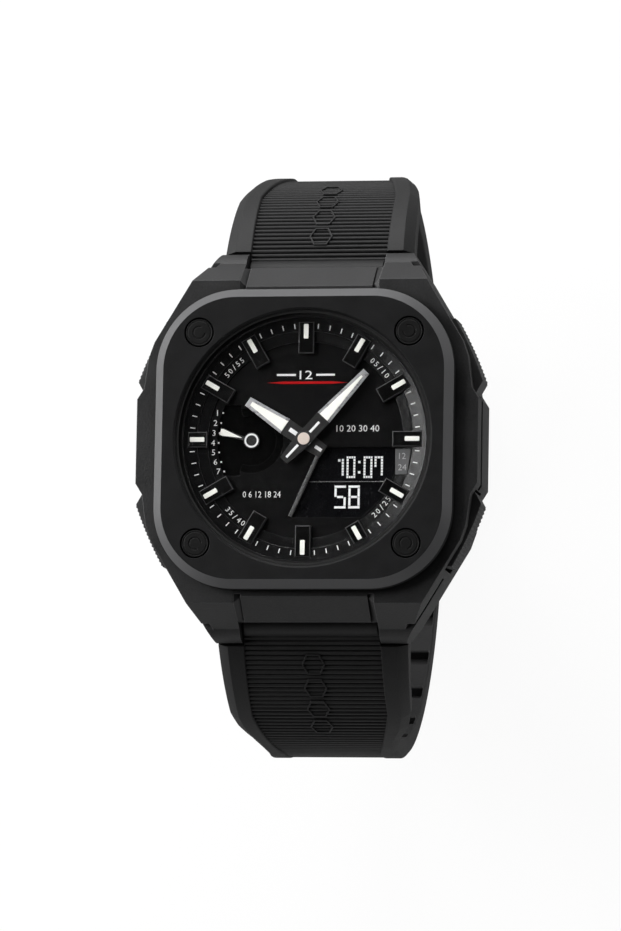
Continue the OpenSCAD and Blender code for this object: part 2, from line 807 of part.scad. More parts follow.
module day_hand() {
    color([0.9, 0.88, 0.82]) translate([day_x, 0, day_hand_z]) clock(day_angle)
        linear_extrude(hand_t) difference() {
            union() {
                circle(1.2);
                polygon([[-0.2, 0], [0.2, 0], [0.5, day_len - 0.4], [0.4, day_len - 0.05],
                    [-0.4, day_len - 0.05], [-0.5, day_len - 0.4]]);
            }
            circle(arbor_r + seat_c);
        }
}

module day_arbor() {
    color([0.75, 0.75, 0.72]) translate([day_x, 0, 0]) clock(day_angle) {
        disc(arbor_r, board_top + 1.2, day_hand_z + hand_t);
        translate([0, 0, gear1_z]) linear_extrude(gear_t) gear_outline(day_teeth, day_mod, 0);
    }
}

// Outline of a gear with tapered teeth: the first tooth's centre points to the phase angle
function tooth(a, root_half, tip_half, root_r, tip_r) = [
    root_r * [cos(a - root_half), sin(a - root_half)], tip_r * [cos(a - tip_half), sin(a - tip_half)],
    tip_r * [cos(a + tip_half), sin(a + tip_half)], root_r * [cos(a + root_half), sin(a + root_half)]];

module gear_outline(teeth, mod, phase) {
    r = teeth * mod / 2;
    step = 360 / teeth;
    polygon([for (i = [0:teeth - 1])
        each tooth(phase + i * step, 0.25 * step, 0.09 * step, r - 1.05 * mod, r + 0.75 * mod)]);
}

// The wheel's teeth stand in the gaps of the cannon pinion, and its pinion's in the hour wheel's
module minute_wheel() {
    phase = 180 / wheel_teeth + minute_angle * cannon_teeth / wheel_teeth - 90;
    color([0.8, 0.65, 0.3]) translate([0, wheel_y, 0]) {
        disc(arbor_r, plate_low, gear1_z + EPS);
        translate([0, 0, gear1_z]) linear_extrude(gear_t) gear_outline(wheel_teeth, cannon_mod, phase);
        translate([0, 0, gear1_z]) linear_extrude(gear2_z + gear_t - gear1_z)
            gear_outline(pinion_teeth, pinion_mod, 0);
    }
}

// Pushers
module pusher_tubes() {
    color([0.7, 0.7, 0.7]) for (q = pusher_at) pusher_axis(q)
        out_ring(tube_r, stem_r + run_c, tube_in, pocket_d - 0.1);
}

module pusher_head() {
    ear = pusher_half_l + pusher_ear;
    difference() {
        translate([0, 0, -pusher_h / 2]) linear_extrude(pusher_h) polygon([[head_back, -ear],
            [pusher_reach - 1.65, -ear], [pusher_reach, -pusher_half_l], [pusher_reach, pusher_half_l],
            [pusher_reach - 1.15, pusher_half_l + 0.35], [head_back, pusher_half_l + 0.35]]);
        out_cylinder(head_back - 1, spring_head_d, spring_hole_r);
    }
}

module pusher(q) {
    color([0.12, 0.12, 0.12]) pusher_axis(q) {
        pusher_head();
        difference() {
            out_cylinder(stem_in, spring_head_d + 0.1, stem_r);
            out_ring(3, stem_groove_r, ring_d - 0.4, ring_d + 0.4);
            out_ring(3, stem_groove_r, clip_d - seat_c, clip_d + clip_t + seat_c);
        }
    }
}

module pusher_gasket(q) {
    color([0.05, 0.05, 0.05]) pusher_axis(q) translate([ring_d, 0, 0]) rotate([0, 90, 0])
        rotate_extrude() translate([(stem_r + run_c + stem_groove_r) / 2, 0]) circle(ring_wire, $fn = 24);
}

module pusher_clip(q) {
    color([0.7, 0.7, 0.7]) pusher_axis(q) difference() {
        out_ring(clip_r, stem_groove_r + seat_c, clip_d, clip_d + clip_t);
        translate([clip_d - 1, -0.55, 0]) cube([3, 1.1, 3]);
    }
}

// Return spring: one wire of six sides wound round the stem
function spring_point(i, j) = let (a = 45 * i, b = 60 * j,
    x = spring_from + (spring_to - spring_from) * i / spring_rings,
    r = spring_coil_r + spring_wire * cos(b))
    [x + spring_wire * sin(b), r * cos(a), r * sin(a)];

module pusher_spring(q) {
    points = [for (i = [0:spring_rings], j = [0:5]) spring_point(i, j)];
    walls = [for (i = [0:spring_rings - 1], j = [0:5])
        let (a = 6 * i + j, b = 6 * i + (j + 1) % 6) each [[a, b, b + 6], [a, b + 6, a + 6]]];
    first = [for (j = [1:4]) [0, j + 1, j]];
    last = [for (j = [1:4]) 6 * spring_rings * [1, 1, 1] + [0, j, j + 1]];
    color([0.7, 0.7, 0.7]) pusher_axis(q) polyhedron(points, concat(walls, first, last), convexity = 6);
}

// Strap
module spring_bar() {
    color([0.6, 0.6, 0.6]) {
        along_x(lug_gap_half - 0.35) translate([bar_y, bar_z]) circle(bar_r);
        along_x(lug_gap_half + 1.3) translate([bar_y, bar_z]) circle(bar_tip_r);
    }
}

// Beside the case an inner arc of its own thins the strap from its shoulders to the band
module upper_band() {
    far = 60;
    intersection() {
        difference() {
            translate(upper_c) circle(upper_r);
            translate(inner_c) circle(inner_r);
        }
        polygon([upper_c, on_arc(upper_c, far, 10), on_arc(upper_c, far, 50), on_arc(upper_c, far, 90)]);
    }
}

// Side view of one half, down to the direction under_a on the lowest arc
module strap_side(under_a) {
    upper_band();
    sector(side_c, side_r - strap_t, side_r, 90 - EPS, 90 + side_turn + EPS);
    sector(under_c, under_r - strap_t, under_r, 90 + side_turn, under_a);
}

function upper_z(a) = upper_c.y + upper_r * cos(a);

// Front view of one half
module strap_front() {
    half = [[strap_half_top, 20], [strap_half_top, upper_z(shoulder_at)],
        [strap_half_top - 1.4, upper_z(52)], [strap_half + 0.5, upper_z(70)], [strap_half, upper_z(83)],
        [strap_half, -80]];
    polygon(concat(half, reversed(mirrored(half, -1, 1))));
}

// The ribbed field's half width at a height, straight at first and then drawn in
function rib_half(z) = knuckle_half - rib_end_in * max(0, upper_z(rib_straight_to) - z)
    / (upper_z(rib_straight_to) - upper_z(rib_zone_to));

module rib_field() {
    low = upper_z(rib_zone_to);
    mid = upper_z(rib_straight_to);
    intersection() {
        along_x(strap_half_top) sector(upper_c, upper_r - rib_drop - rib_depth, upper_r + 2, 0, rib_zone_to);
        along_y(0, 80) polygon([[knuckle_half, 20], [knuckle_half, mid], [rib_half(low), low],
            [-rib_half(low), low], [-knuckle_half, mid], [-knuckle_half, 20]]);
    }
}

module ribs() {
    for (i = [0:rib_count - 1])
        let (a = rib_from + rib_step * i, p = on_arc(upper_c, upper_r - rib_drop - rib_r, a))
        if (a < rib_zone_to) along_x(rib_half(p.y) + (a > 27 ? 0.1 : 0)) translate(p) circle(rib_r);
}

// What both halves share: the knuckle, the shoulders and the band
module strap_half_body(under_a) {
    difference() {
        union() {
            difference() {
                intersection() {
                    along_x(strap_half_top + 1) strap_side(under_a);
                    along_y(0, 80) strap_front();
                }
                rib_field();
                // Nothing but the knuckle lies between the lugs
                along_x(40) translate([bar_y - 20, bar_z - 7]) square(20);
            }
            along_x(knuckle_half) translate([bar_y, bar_z]) circle(knuckle_r);
        }
        both_sides() translate([knuckle_half, bar_y, bar_z]) rotate([0, 90, 0])
            cylinder(h = 20, r = shoulder_gap_r);
        along_x(40) translate([bar_y, bar_z]) circle(bar_r + run_c);
    }
    ribs();
}

// Places children at a direction on the lowest arc: Z points outwards, Y towards the lower half
module under_wrist(angle) {
    translate([0, under_c.x, under_c.y]) rotate([180 + angle, 0, 0]) children();
}

module at_pin() {
    under_wrist(pin_angle) translate([0, 0, pin_mid_r]) children();
}

// Loop round both layers of the strap, gap away from the inner one
module keeper(angle, gap) {
    half = strap_half + loose_c;
    low = under_r - strap_t - gap;
    high = layer2_r + 0.25;
    translate([0, under_c.x, under_c.y]) rotate([90, 0, 90]) rotate([0, 0, angle - 90])
        rotate_extrude(angle = keeper_arc, $fn = 180) difference() {
            rounded_rect([low - keeper_wall, -half - keeper_wall], [high + keeper_wall, half + keeper_wall],
                0.8);
            translate([low, -half]) square([high - low, 2 * half]);
        }
}

module strap_upper() {
    color([0.13, 0.13, 0.13]) {
        difference() {
            union() {
                strap_half_body(180 - pin_angle);
                at_pin() along_x(strap_half - 0.05) circle(end_knuckle_r);
            }
            at_pin() along_x(40) circle(pin_r + run_c);
            at_pin() along_x(tongue_w / 2 + loose_c) {
                circle(notch_r);
                translate([0, -link_inset * notch_r]) square([6, 2 * link_inset * notch_r]);
            }
        }
        keeper(fixed_keeper_at, -0.1);
    }
}

module slots(from, to) {
    for (k = [from:to]) under_wrist(slot_at + k * slot_step)
        translate([0, 0, under_r - strap_t - 1]) linear_extrude(layer2_r - under_r + strap_t + 2) {
            square([slot_w, slot_l - slot_w], center = true);
            for (y = [-1, 1]) translate([0, y * (slot_l - slot_w) / 2]) circle(slot_w / 2);
        }
}

// Shallow pockets across the inner face, given by their directions on one arc
module inner_pockets(c, r, directions) {
    for (a = directions) translate([0, c.x, c.y]) rotate([-a, 0, 0])
        translate([-pocket_half, -pocket_len / 2, r - 1]) cube([2 * pocket_half, pocket_len, 1 + pocket_deep]);
}

module strap_lower() {
    under_pockets = [for (k = [-7:-4]) 180 + slot_at + (k + 0.5) * slot_step];
    color([0.13, 0.13, 0.13]) difference() {
        mirror([0, 1, 0]) difference() {
            strap_half_body(180 + ramp_from);
            inner_pockets(inner_c, inner_r, [58, 76]);
            inner_pockets(side_c, side_r - strap_t, [94, 106]);
            inner_pockets(under_c, under_r - strap_t, under_pockets);
        }
        slots(-6, -3);
    }
}

function ramp(t) = t * t * (3 - 2 * t);
function ramp_point(r, t) = on_arc(under_c, r + (layer2_r - under_r) * ramp(t),
    180 - ramp_from - (ramp_to - ramp_from) * t);

// The free end of the lower half climbs over the buckle's pin and lies on the upper half
module strap_tail() {
    t = [for (i = [0:ramp_steps]) i / ramp_steps];
    color([0.13, 0.13, 0.13]) difference() {
        along_x(strap_half) {
            polygon(concat([for (k = t) ramp_point(under_r - strap_t, k)],
                reversed([for (k = t) ramp_point(under_r, k)])));
            sector(under_c, layer2_r - strap_t, layer2_r, 180 - tail_end, 180 - ramp_to + 0.05);
        }
        slots(-2, 2);
        under_wrist(tail_end) both_sides() translate([strap_half, 0, layer2_r])
            rotate([0, 0, 45]) cube([6, 6, 20], center = true);
    }
}

// Buckle
module buckle_frame() {
    arm_half = (buckle_half_out - buckle_half_in) / 2;
    color([0.16, 0.16, 0.17]) at_pin() difference() {
        union() {
            both_sides() translate([buckle_half_in + arm_half, 0, 0]) along_x(arm_half)
                link([0, 0], buckle_ring_r, bar_at, buckle_bar_r);
            along_x(buckle_half_out) translate(bar_at) circle(buckle_bar_r);
        }
        along_x(pin_half + 0.05) circle(pin_r + seat_c);
    }
}

module buckle_pin() {
    color([0.6, 0.6, 0.6]) at_pin() along_x(pin_half) circle(pin_r);
}

module buckle_tongue() {
    color([0.2, 0.2, 0.21]) at_pin() along_x(tongue_w / 2) difference() {
        union() {
            for (i = [1:len(tongue_path) - 2])
                link(tongue_path[i], tongue_t / 2, tongue_path[i + 1], tongue_t / 2);
            link(tongue_path[0], tongue_ring_r, tongue_path[1], tongue_t / 2);
        }
        circle(pin_r + run_c);
    }
}

module free_keeper() {
    color([0.14, 0.14, 0.14]) keeper(free_keeper_at, 0.25);
}

case_shell();
bezel();
bezel_bolts();
crystal();
crystal_gasket();
case_back();
case_back_gasket();
case_back_screws();
dial_plate();
day_dial();
minute_ring();
hour_markers();
hour_lume();
lcd_panel();
lcd_frame();
light_guide();
zebra_strip();
movement_holder();
movement_plate();
circuit_board();
step_motors();
battery();
battery_clip();
buzzer();
minute_hand();
minute_arbor();
hand_cap();
hour_hand();
hour_wheel();
minute_wheel();
day_hand();
day_arbor();
pusher_tubes();
pusher(pusher_at[0]);  // pusher_2
pusher(pusher_at[1]);  // pusher_4
pusher(pusher_at[2]);  // pusher_8
pusher(pusher_at[3]);  // pusher_10
pusher_gasket(pusher_at[0]);  // pusher_2_gasket
pusher_gasket(pusher_at[1]);  // pusher_4_gasket
pusher_gasket(pusher_at[2]);  // pusher_8_gasket
pusher_gasket(pusher_at[3]);  // pusher_10_gasket
pusher_clip(pusher_at[0]);  // pusher_2_clip
pusher_clip(pusher_at[1]);  // pusher_4_clip
pusher_clip(pusher_at[2]);  // pusher_8_clip
pusher_clip(pusher_at[3]);  // pusher_10_clip
pusher_spring(pusher_at[0]);  // pusher_2_spring
pusher_spring(pusher_at[1]);  // pusher_4_spring
pusher_spring(pusher_at[2]);  // pusher_8_spring
pusher_spring(pusher_at[3]);  // pusher_10_spring
spring_bar();  // spring_bar_upper
mirror([0, 1, 0]) spring_bar();  // spring_bar_lower
strap_upper();
strap_lower();
strap_tail();
buckle_frame();
buckle_pin();
buckle_tongue();
free_keeper();
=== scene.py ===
"""Dresses a packed sports watch: resin strap, printed dial, luminous hands and a white studio.

Sizes are in millimetres in the part's own frame: the origin lies on the case back's outer face,
+X points to 3 o'clock, +Y to 12 o'clock and +Z to the reader. Angles are in degrees. Surfaces are
turned into metres when they become meshes.
"""

from __future__ import annotations

import logging
import math
import sys
from collections.abc import Sequence
from dataclasses import dataclass, field
from enum import Enum
from functools import cache

import bmesh
import bpy
import numpy as np
from mathutils import Matrix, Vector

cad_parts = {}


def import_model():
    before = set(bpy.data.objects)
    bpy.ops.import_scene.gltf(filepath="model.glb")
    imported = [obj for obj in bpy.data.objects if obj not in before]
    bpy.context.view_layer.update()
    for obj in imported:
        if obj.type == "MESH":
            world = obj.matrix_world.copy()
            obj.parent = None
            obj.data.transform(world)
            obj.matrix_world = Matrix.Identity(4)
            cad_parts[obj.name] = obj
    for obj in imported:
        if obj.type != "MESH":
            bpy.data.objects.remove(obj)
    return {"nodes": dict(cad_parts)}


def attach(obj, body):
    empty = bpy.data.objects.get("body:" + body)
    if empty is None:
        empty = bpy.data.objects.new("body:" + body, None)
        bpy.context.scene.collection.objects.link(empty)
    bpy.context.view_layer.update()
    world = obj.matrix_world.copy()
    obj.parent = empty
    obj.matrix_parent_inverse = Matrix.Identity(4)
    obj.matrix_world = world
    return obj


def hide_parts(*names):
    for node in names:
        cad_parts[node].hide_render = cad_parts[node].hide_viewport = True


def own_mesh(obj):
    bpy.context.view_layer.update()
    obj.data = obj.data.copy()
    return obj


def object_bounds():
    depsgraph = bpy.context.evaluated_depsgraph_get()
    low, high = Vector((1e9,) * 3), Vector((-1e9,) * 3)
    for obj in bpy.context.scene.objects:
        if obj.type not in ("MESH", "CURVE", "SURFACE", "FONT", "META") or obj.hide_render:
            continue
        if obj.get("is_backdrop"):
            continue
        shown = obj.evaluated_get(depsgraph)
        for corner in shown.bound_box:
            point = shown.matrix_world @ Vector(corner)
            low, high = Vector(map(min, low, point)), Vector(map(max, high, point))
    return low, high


Pair = tuple[float, float]
Triple = tuple[float, float, float]
Quad = tuple[float, float, float, float]
Numbers = float | np.ndarray

MM = 0.001
LOG = logging.getLogger("watch")


# Surfaces

# Points closer than this in a mesh are one, and a bevel rounds edges sharper than this
WELD = 1e-7
BEVEL_FROM = 30.0


@dataclass
class Surface:
    """Points and faces of one or more shells.

    Attributes:
        points: one row of x, y, z for each point.
        faces: arrays of point numbers, one array for each number of corners.
    """

    points: np.ndarray
    faces: list[np.ndarray]

    def volume(self) -> float:
        """Enclosed volume: the sum of p0 . (p1 x p2) / 6 over a fan of each face.

        Returns:
            The volume, negative where the faces point inwards.
        """
        total = 0.0
        for rows in self.faces:
            p = self.points[rows]
            for k in range(1, rows.shape[1] - 1):
                total += float(np.einsum("ij,ij->", p[:, 0], np.cross(p[:, k], p[:, k + 1]))) / 6
        return total

    def outwards(self) -> Surface:
        """Turns the faces of a closed surface outwards, by the sign of its volume.

        Returns:
            The surface itself, or a copy with every face turned round.
        """
        if self.volume() < 0:
            return Surface(self.points, [rows[:, ::-1] for rows in self.faces])
        return self

    def moved(self, turn: np.ndarray | None = None, by: Triple = (0, 0, 0)) -> Surface:
        """A new surface with the points turned by a 3 x 3 matrix, if one is given, and then moved."""
        points = self.points if turn is None else self.points @ turn.T
        return Surface(points + np.asarray(by, float), self.faces)


def joined(surfaces: list[Surface]) -> Surface:
    """Several surfaces as one, their point numbers shifted one after the other.

    Args:
        surfaces: what is joined.

    Returns:
        One surface of them all.
    """
    starts = np.cumsum([0] + [len(s.points) for s in surfaces])
    faces = [rows + start for s, start in zip(surfaces, starts) for rows in s.faces]
    return Surface(np.vstack([s.points for s in surfaces]), faces)


def skin(rings: np.ndarray, around: bool = False, flat_ends: bool = True) -> Surface:
    """Skin over a row of closed rings, one quad between neighbours along and across.

    Args:
        rings: (rows, columns, 3) points, where each row is a closed ring.
        around: whether the last ring joins the first, so that no end is open.
        flat_ends: whether an end is one face; otherwise it is a strip of quads that joins the
            first half of the ring to the second half, for rings made of two matching chains.

    Returns:
        A closed surface with its faces outwards.
    """
    rows, columns = rings.shape[:2]
    number = np.arange(rows * columns).reshape(rows, columns)
    following = np.roll(number, -1, 0) if around else number[1:]
    first = number if around else number[:-1]
    quads = np.stack([first, np.roll(first, -1, 1), np.roll(following, -1, 1), following], -1)
    faces = [quads.reshape(-1, 4)]
    if not around and flat_ends:
        faces += [number[:1, ::-1], number[-1:]]
    elif not around:
        i = np.arange(columns // 2 - 1)
        strip = np.stack([i, columns - 1 - i, columns - 2 - i, i + 1], -1)
        faces += [number[0][strip], number[-1][strip[:, ::-1]]]
    return Surface(rings.reshape(-1, 3), faces).outwards()


def plates(outlines: np.ndarray, low: float, high: float) -> Surface:
    """Flat plates over outlines of the same number of corners: two caps and a wall each.

    Args:
        outlines: (plates, corners, 2) outlines that turn anticlockwise.
        low: height of the undersides.
        high: height of the tops.

    Returns:
        The closed plates.
    """
    count, corners = outlines.shape[:2]
    heights = np.broadcast_to(np.array([low, high])[None, :, None, None], (count, 2, corners, 1))
    points = np.concatenate([np.repeat(outlines[:, None], 2, 1), heights], -1)
    number = np.arange(count * 2 * corners).reshape(count, 2, corners)
    bottom, top = number[:, 0], number[:, 1]
    wall = np.stack([bottom, np.roll(bottom, -1, 1), np.roll(top, -1, 1), top], -1).reshape(-1, 4)
    return Surface(points.reshape(-1, 3), [wall, bottom[:, ::-1], top]).outwards()


def bars(rows: Sequence[Quad]) -> np.ndarray:
    """Outlines of upright rectangles given as left, bottom, right, top."""
    a = np.array(rows, float)
    return np.stack([a[:, [0, 1]], a[:, [2, 1]], a[:, [2, 3]], a[:, [0, 3]]], 1)


def wedge(stations: Sequence[Pair]) -> np.ndarray:
    """Outline symmetric about the Y axis.

    Args:
        stations: (y, half width) at each of its corners, upwards.

    Returns:
        (1, corners, 2) outline that turns anticlockwise.
    """
    a = np.array(stations, float)
    right = np.stack([a[:, 1], a[:, 0]], -1)
    left = right[::-1] * (-1, 1)
    return np.concatenate([right, left])[None]


def clockwise(angle: float) -> np.ndarray:
    """Matrix that turns +Y to a clock angle about the Z axis."""
    c, s = math.cos(math.radians(angle)), math.sin(math.radians(angle))
    return np.array([[c, s, 0], [-s, c, 0], [0, 0, 1.0]])


def lathe(profile: list[Pair], count: int = 96) -> Surface:
    """Closed profile of (radius, height) points turned about the Z axis.

    Args:
        profile: corners of a closed outline.
        count: number of steps round the axis.

    Returns:
        A closed ring.
    """
    p = np.array(profile, float)
    a = np.linspace(0, 2 * np.pi, count, endpoint=False)[:, None]
    rings = np.stack([p[:, 0] * np.cos(a), p[:, 0] * np.sin(a), p[:, 1] + 0 * a], -1)
    return skin(rings, around=True)


def tube(
    ends: Pair, bore: float, r: float, cut: float, middle: Pair, count: int
) -> Surface:
    """Tube along X with chamfered ends: its profile turned about the line through the middle.

    Args:
        ends: x at which it starts and ends.
        bore: inner radius.
        r: outer radius.
        cut: width of the chamfers at its outer edges.
        middle: (y, z) of its axis.
        count: number of steps round the axis.

    Returns:
        The closed tube.
    """
    (x0, x1), (y, z) = ends, middle
    p = np.array([(x0, bore), (x0, r - cut), (x0 + cut, r), (x1 - cut, r), (x1, r - cut), (x1, bore)])
    b = np.linspace(0, 2 * np.pi, count, endpoint=False)[:, None]
    rings = np.stack([p[:, 0] + 0 * b, y + p[:, 1] * np.cos(b), z + p[:, 1] * np.sin(b)], -1)
    return skin(rings, around=True)


class Piece:
    """One named object of the scene, gathered from surfaces with a finish each."""

    def __init__(self, name: str) -> None:
        """Starts an empty piece.

        Args:
            name: the object's name.
        """
        self.name = name
        self.surfaces: list[Surface] = []
        self.finishes: list[Finish] = []
        self.paint: list[int] = []

    def add(self, surface: Surface, finish: Finish) -> Piece:
        """Adds a surface that is in its place.

        Args:
            surface: what is added.
            finish: its finish.

        Returns:
            The piece itself.
        """
        if finish not in self.finishes:
            self.finishes.append(finish)
        self.surfaces.append(surface)
        self.paint.append(self.finishes.index(finish))
        return self

    def build(
        self,
        body: str,
        slot: str,
        replaces: tuple[str, ...] = (),
        smooth: float = 35.0,
        bevel: float = 0.0,
    ) -> bpy.types.Object:
        """Makes the mesh and hangs it on its body.

        Args:
            body: CAD body that the piece moves with.
            slot: not used.
            replaces: CAD nodes that the piece stands for.
            smooth: edges sharper than this angle stay sharp.
            bevel: width of a rounding on sharp edges.

        Returns:
            The finished object.
        """
        whole = joined(self.surfaces)
        faces = [f for rows in whole.faces for f in rows.tolist()]
        paint = [i for s, i in zip(self.surfaces, self.paint) for rows in s.faces for _ in rows]
        mesh = bpy.data.meshes.new(self.name)
        mesh.from_pydata((whole.points * MM).tolist(), [], faces)
        mesh.polygons.foreach_set("material_index", np.array(paint, np.int32))
        for finish in self.finishes:
            mesh.materials.append(finish.material())
        welded(mesh)
        obj = bpy.data.objects.new(self.name, mesh)
        bpy.context.scene.collection.objects.link(obj)
        obj.data.shade_smooth()
        obj.data.set_sharp_from_angle(angle=math.radians(smooth))
        if bevel:
            rounding = obj.modifiers.new("rounding", "BEVEL")
            rounding.width, rounding.segments = bevel * MM, 2
            rounding.limit_method, rounding.angle_limit = "ANGLE", math.radians(BEVEL_FROM)
        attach(obj, body)
        if replaces:
            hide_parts(*replaces)
        LOG.info("%s: %d faces on %s", self.name, len(obj.data.polygons), body)
        return obj


def welded(mesh: bpy.types.Mesh) -> None:
    """Merges points that coincide and drops the faces that this empties.

    Args:
        mesh: what is mended.
    """
    work = bmesh.new()
    work.from_mesh(mesh)
    bmesh.ops.remove_doubles(work, verts=work.verts, dist=WELD)
    bmesh.ops.dissolve_degenerate(work, edges=work.edges, dist=0.1 * WELD)
    work.to_mesh(mesh)
    work.free()


def taken(obj: bpy.types.Object) -> Surface:
    """Takes the mesh that an object's modifiers or curves lead to, and deletes the object.

    Args:
        obj: the object.

    Returns:
        Its surface.
    """
    graph = bpy.context.evaluated_depsgraph_get()
    mesh = bpy.data.meshes.new_from_object(obj.evaluated_get(graph), depsgraph=graph)
    points = np.empty(len(mesh.vertices) * 3)
    mesh.vertices.foreach_get("co", points)
    faces: dict[int, list[list[int]]] = {}
    for polygon in mesh.polygons:
        faces.setdefault(len(polygon.vertices), []).append(list(polygon.vertices))
    bpy.data.objects.remove(obj)
    return Surface(points.reshape(-1, 3), [np.array(rows) for rows in faces.values()])


def carved(surface: Surface, holes: Surface) -> Surface:
    """Cuts closed shapes out of a closed surface that doesn't cross itself.

    Args:
        surface: what is cut.
        holes: the shapes that are cut out.

    Returns:
        What is left.

    Raises:
        ValueError: the cut left nothing, or more than there was.
    """
    objects = []
    for part in (surface, holes):
        mesh = bpy.data.meshes.new("cut")
        faces = [f for rows in part.faces for f in rows.tolist()]
        mesh.from_pydata(part.points.tolist(), [], faces)
        welded(mesh)
        objects.append(bpy.data.objects.new("cut", mesh))
        bpy.context.scene.collection.objects.link(objects[-1])
    cut = objects[0].modifiers.new("cut", "BOOLEAN")
    cut.operation, cut.solver, cut.object = "DIFFERENCE", "EXACT", objects[1]
    left = taken(objects[0])
    bpy.data.objects.remove(objects[1])
    if not 0 < left.volume() < surface.volume():
        raise ValueError(f"the cut left {left.volume():.3f} of {surface.volume():.3f}")
    return left


# Finishes

# Grain: detail of its noise, scale of the wide noise to the fine one, and contrast of the shade
GRAIN_DETAIL = 3.0
WIDE_SCALE = 0.06
SHADE_GAIN = 2.2
# Edges: rays for each point, and by how much the mask of the painted edge highlight grows with the lean of
# the normal
EDGE_SAMPLES = 6
EDGE_GAIN = 5.0
# Hollows: power of the mask of the painted shade in them, and how far in mm a face that closes a place may
# be
OPEN_POWER = 1.5
OPEN_REACH = 0.9
OPEN_REACH_NEAR_OTHERS = 1.6
# Brushed metal: scale of its noise along the lines to the one across them
BRUSH_STRETCH = 0.04


class Wiring:
    """Places and joins the nodes of one shader tree."""

    def __init__(self, tree: bpy.types.NodeTree) -> None:
        """Takes the tree and empties it."""
        self.tree = tree
        tree.nodes.clear()

    def node(
        self, kind: str, settings: dict[str, object] | None = None, **sockets: object
    ) -> bpy.types.Node:
        """Adds a node.

        Args:
            kind: node type without its ShaderNode prefix.
            settings: the node's own properties.
            **sockets: input values or output sockets to join, by name with _ for a space; a
                number after in_ picks an input by its place.

        Returns:
            The node.
        """
        made = self.tree.nodes.new(kind if kind.startswith("Node") else "ShaderNode" + kind)
        for key, value in (settings or {}).items():
            setattr(made, key, value)
        for key, value in sockets.items():
            name = int(key[3:]) if key.startswith("in_") else key.replace("_", " ")
            if isinstance(value, bpy.types.NodeSocket):
                self.tree.links.new(value, made.inputs[name])
            else:
                made.inputs[name].default_value = value
        return made

    def math(self, operation: str, a: object, b: object = 0.0, clamp: bool = False) -> bpy.types.NodeSocket:
        """Output of a Math node over two values or sockets."""
        return self.node("Math", {"operation": operation, "use_clamp": clamp}, in_0=a, in_1=b).outputs[0]

    def blend(self, factor: object, a: object, b: object) -> bpy.types.NodeSocket:
        """Colour between a and b by a factor."""
        return self.node("Mix", {"data_type": "RGBA"}, in_0=factor, in_6=a, in_7=b).outputs[2]


def group(name: str, inputs: dict[str, float], outputs: dict[str, str]) -> tuple[Wiring, object, object]:
    """Starts a shader node group.

    Args:
        name: name of the group.
        inputs: number inputs with their first values.
        outputs: outputs with their socket types.

    Returns:
        The wiring, the group's input node and its output node.
    """
    tree = bpy.data.node_groups.new(name, "ShaderNodeTree")
    for key, value in inputs.items():
        socket = tree.interface.new_socket(key, in_out="INPUT", socket_type="NodeSocketFloat")
        socket.default_value = value
    for key, kind in outputs.items():
        tree.interface.new_socket(key, in_out="OUTPUT", socket_type="NodeSocket" + kind)
    wiring = Wiring(tree)
    return wiring, wiring.node("NodeGroupInput"), wiring.node("NodeGroupOutput")


@cache
def grain_group() -> bpy.types.NodeTree:
    """Grain of moulded or blasted surfaces: fine noise for relief and wide noise for shade.

    Returns:
        The group, made once.
    """
    w, into, out = group("grain", {"Size": 0.15}, {"Height": "Float", "Shade": "Float"})
    place = w.node("TexCoord").outputs["Object"]
    scale = w.math("DIVIDE", 1.0 / MM, into.outputs["Size"])
    fine = w.node("TexNoise", Vector=place, Scale=scale, Detail=GRAIN_DETAIL, Roughness=0.6).outputs[0]
    wide_scale = w.math("MULTIPLY", scale, WIDE_SCALE)
    wide = w.node("TexNoise", Vector=place, Scale=wide_scale, Detail=GRAIN_DETAIL + 1).outputs[0]
    w.tree.links.new(fine, out.inputs["Height"])
    both = w.math("ADD", w.math("MULTIPLY", fine, 0.5), w.math("MULTIPLY", wide, 0.5))
    shade = w.math("MULTIPLY_ADD", w.math("SUBTRACT", both, 0.5), SHADE_GAIN, True)
    w.tree.links.new(shade, out.inputs["Shade"])
    return w.tree


@cache
def edge_group(neighbours: bool) -> bpy.types.NodeTree:
    """Painted highlights on edges and painted shade in hollows.

    The group gives the normal rounded over a small radius, how far that leaves the face's own,
    which masks a painted highlight on edges, and how open a place is, from 0 in a groove to 1 on
    a free face, which masks painted shade in hollows.

    Args:
        neighbours: whether other pieces close a place in too.

    Returns:
        The group, made once for each case.
    """
    name = "edge_highlight_and_hollow_shade_near_others" if neighbours else "edge_highlight_and_hollow_shade"
    w, into, out = group(name, {"Radius": 0.1}, {"Normal": "Vector", "Edge": "Float", "Open": "Float"})
    radius = w.math("MULTIPLY", into.outputs["Radius"], MM)
    rounded = w.node("Bevel", {"samples": EDGE_SAMPLES}, Radius=radius).outputs[0]
    own = w.node("NewGeometry").outputs["Normal"]
    along = w.node("VectorMath", {"operation": "DOT_PRODUCT"}, in_0=rounded, in_1=own).outputs["Value"]
    w.tree.links.new(rounded, out.inputs["Normal"])
    settings = {"samples": EDGE_SAMPLES, "only_local": not neighbours}
    reach = OPEN_REACH_NEAR_OTHERS if neighbours else OPEN_REACH
    # Painted shade: ambient occlusion marks the hollows whose colour is darkened
    hollow = w.node("AmbientOcclusion", settings, Distance=reach * MM).outputs["AO"]
    w.tree.links.new(w.math("POWER", hollow, OPEN_POWER), out.inputs["Open"])
    # Painted highlight: the mask of edges whose colour is lightened
    edge = w.math("MULTIPLY", w.math("SUBTRACT", 1.0, along), EDGE_GAIN, True)
    w.tree.links.new(edge, out.inputs["Edge"])
    return w.tree


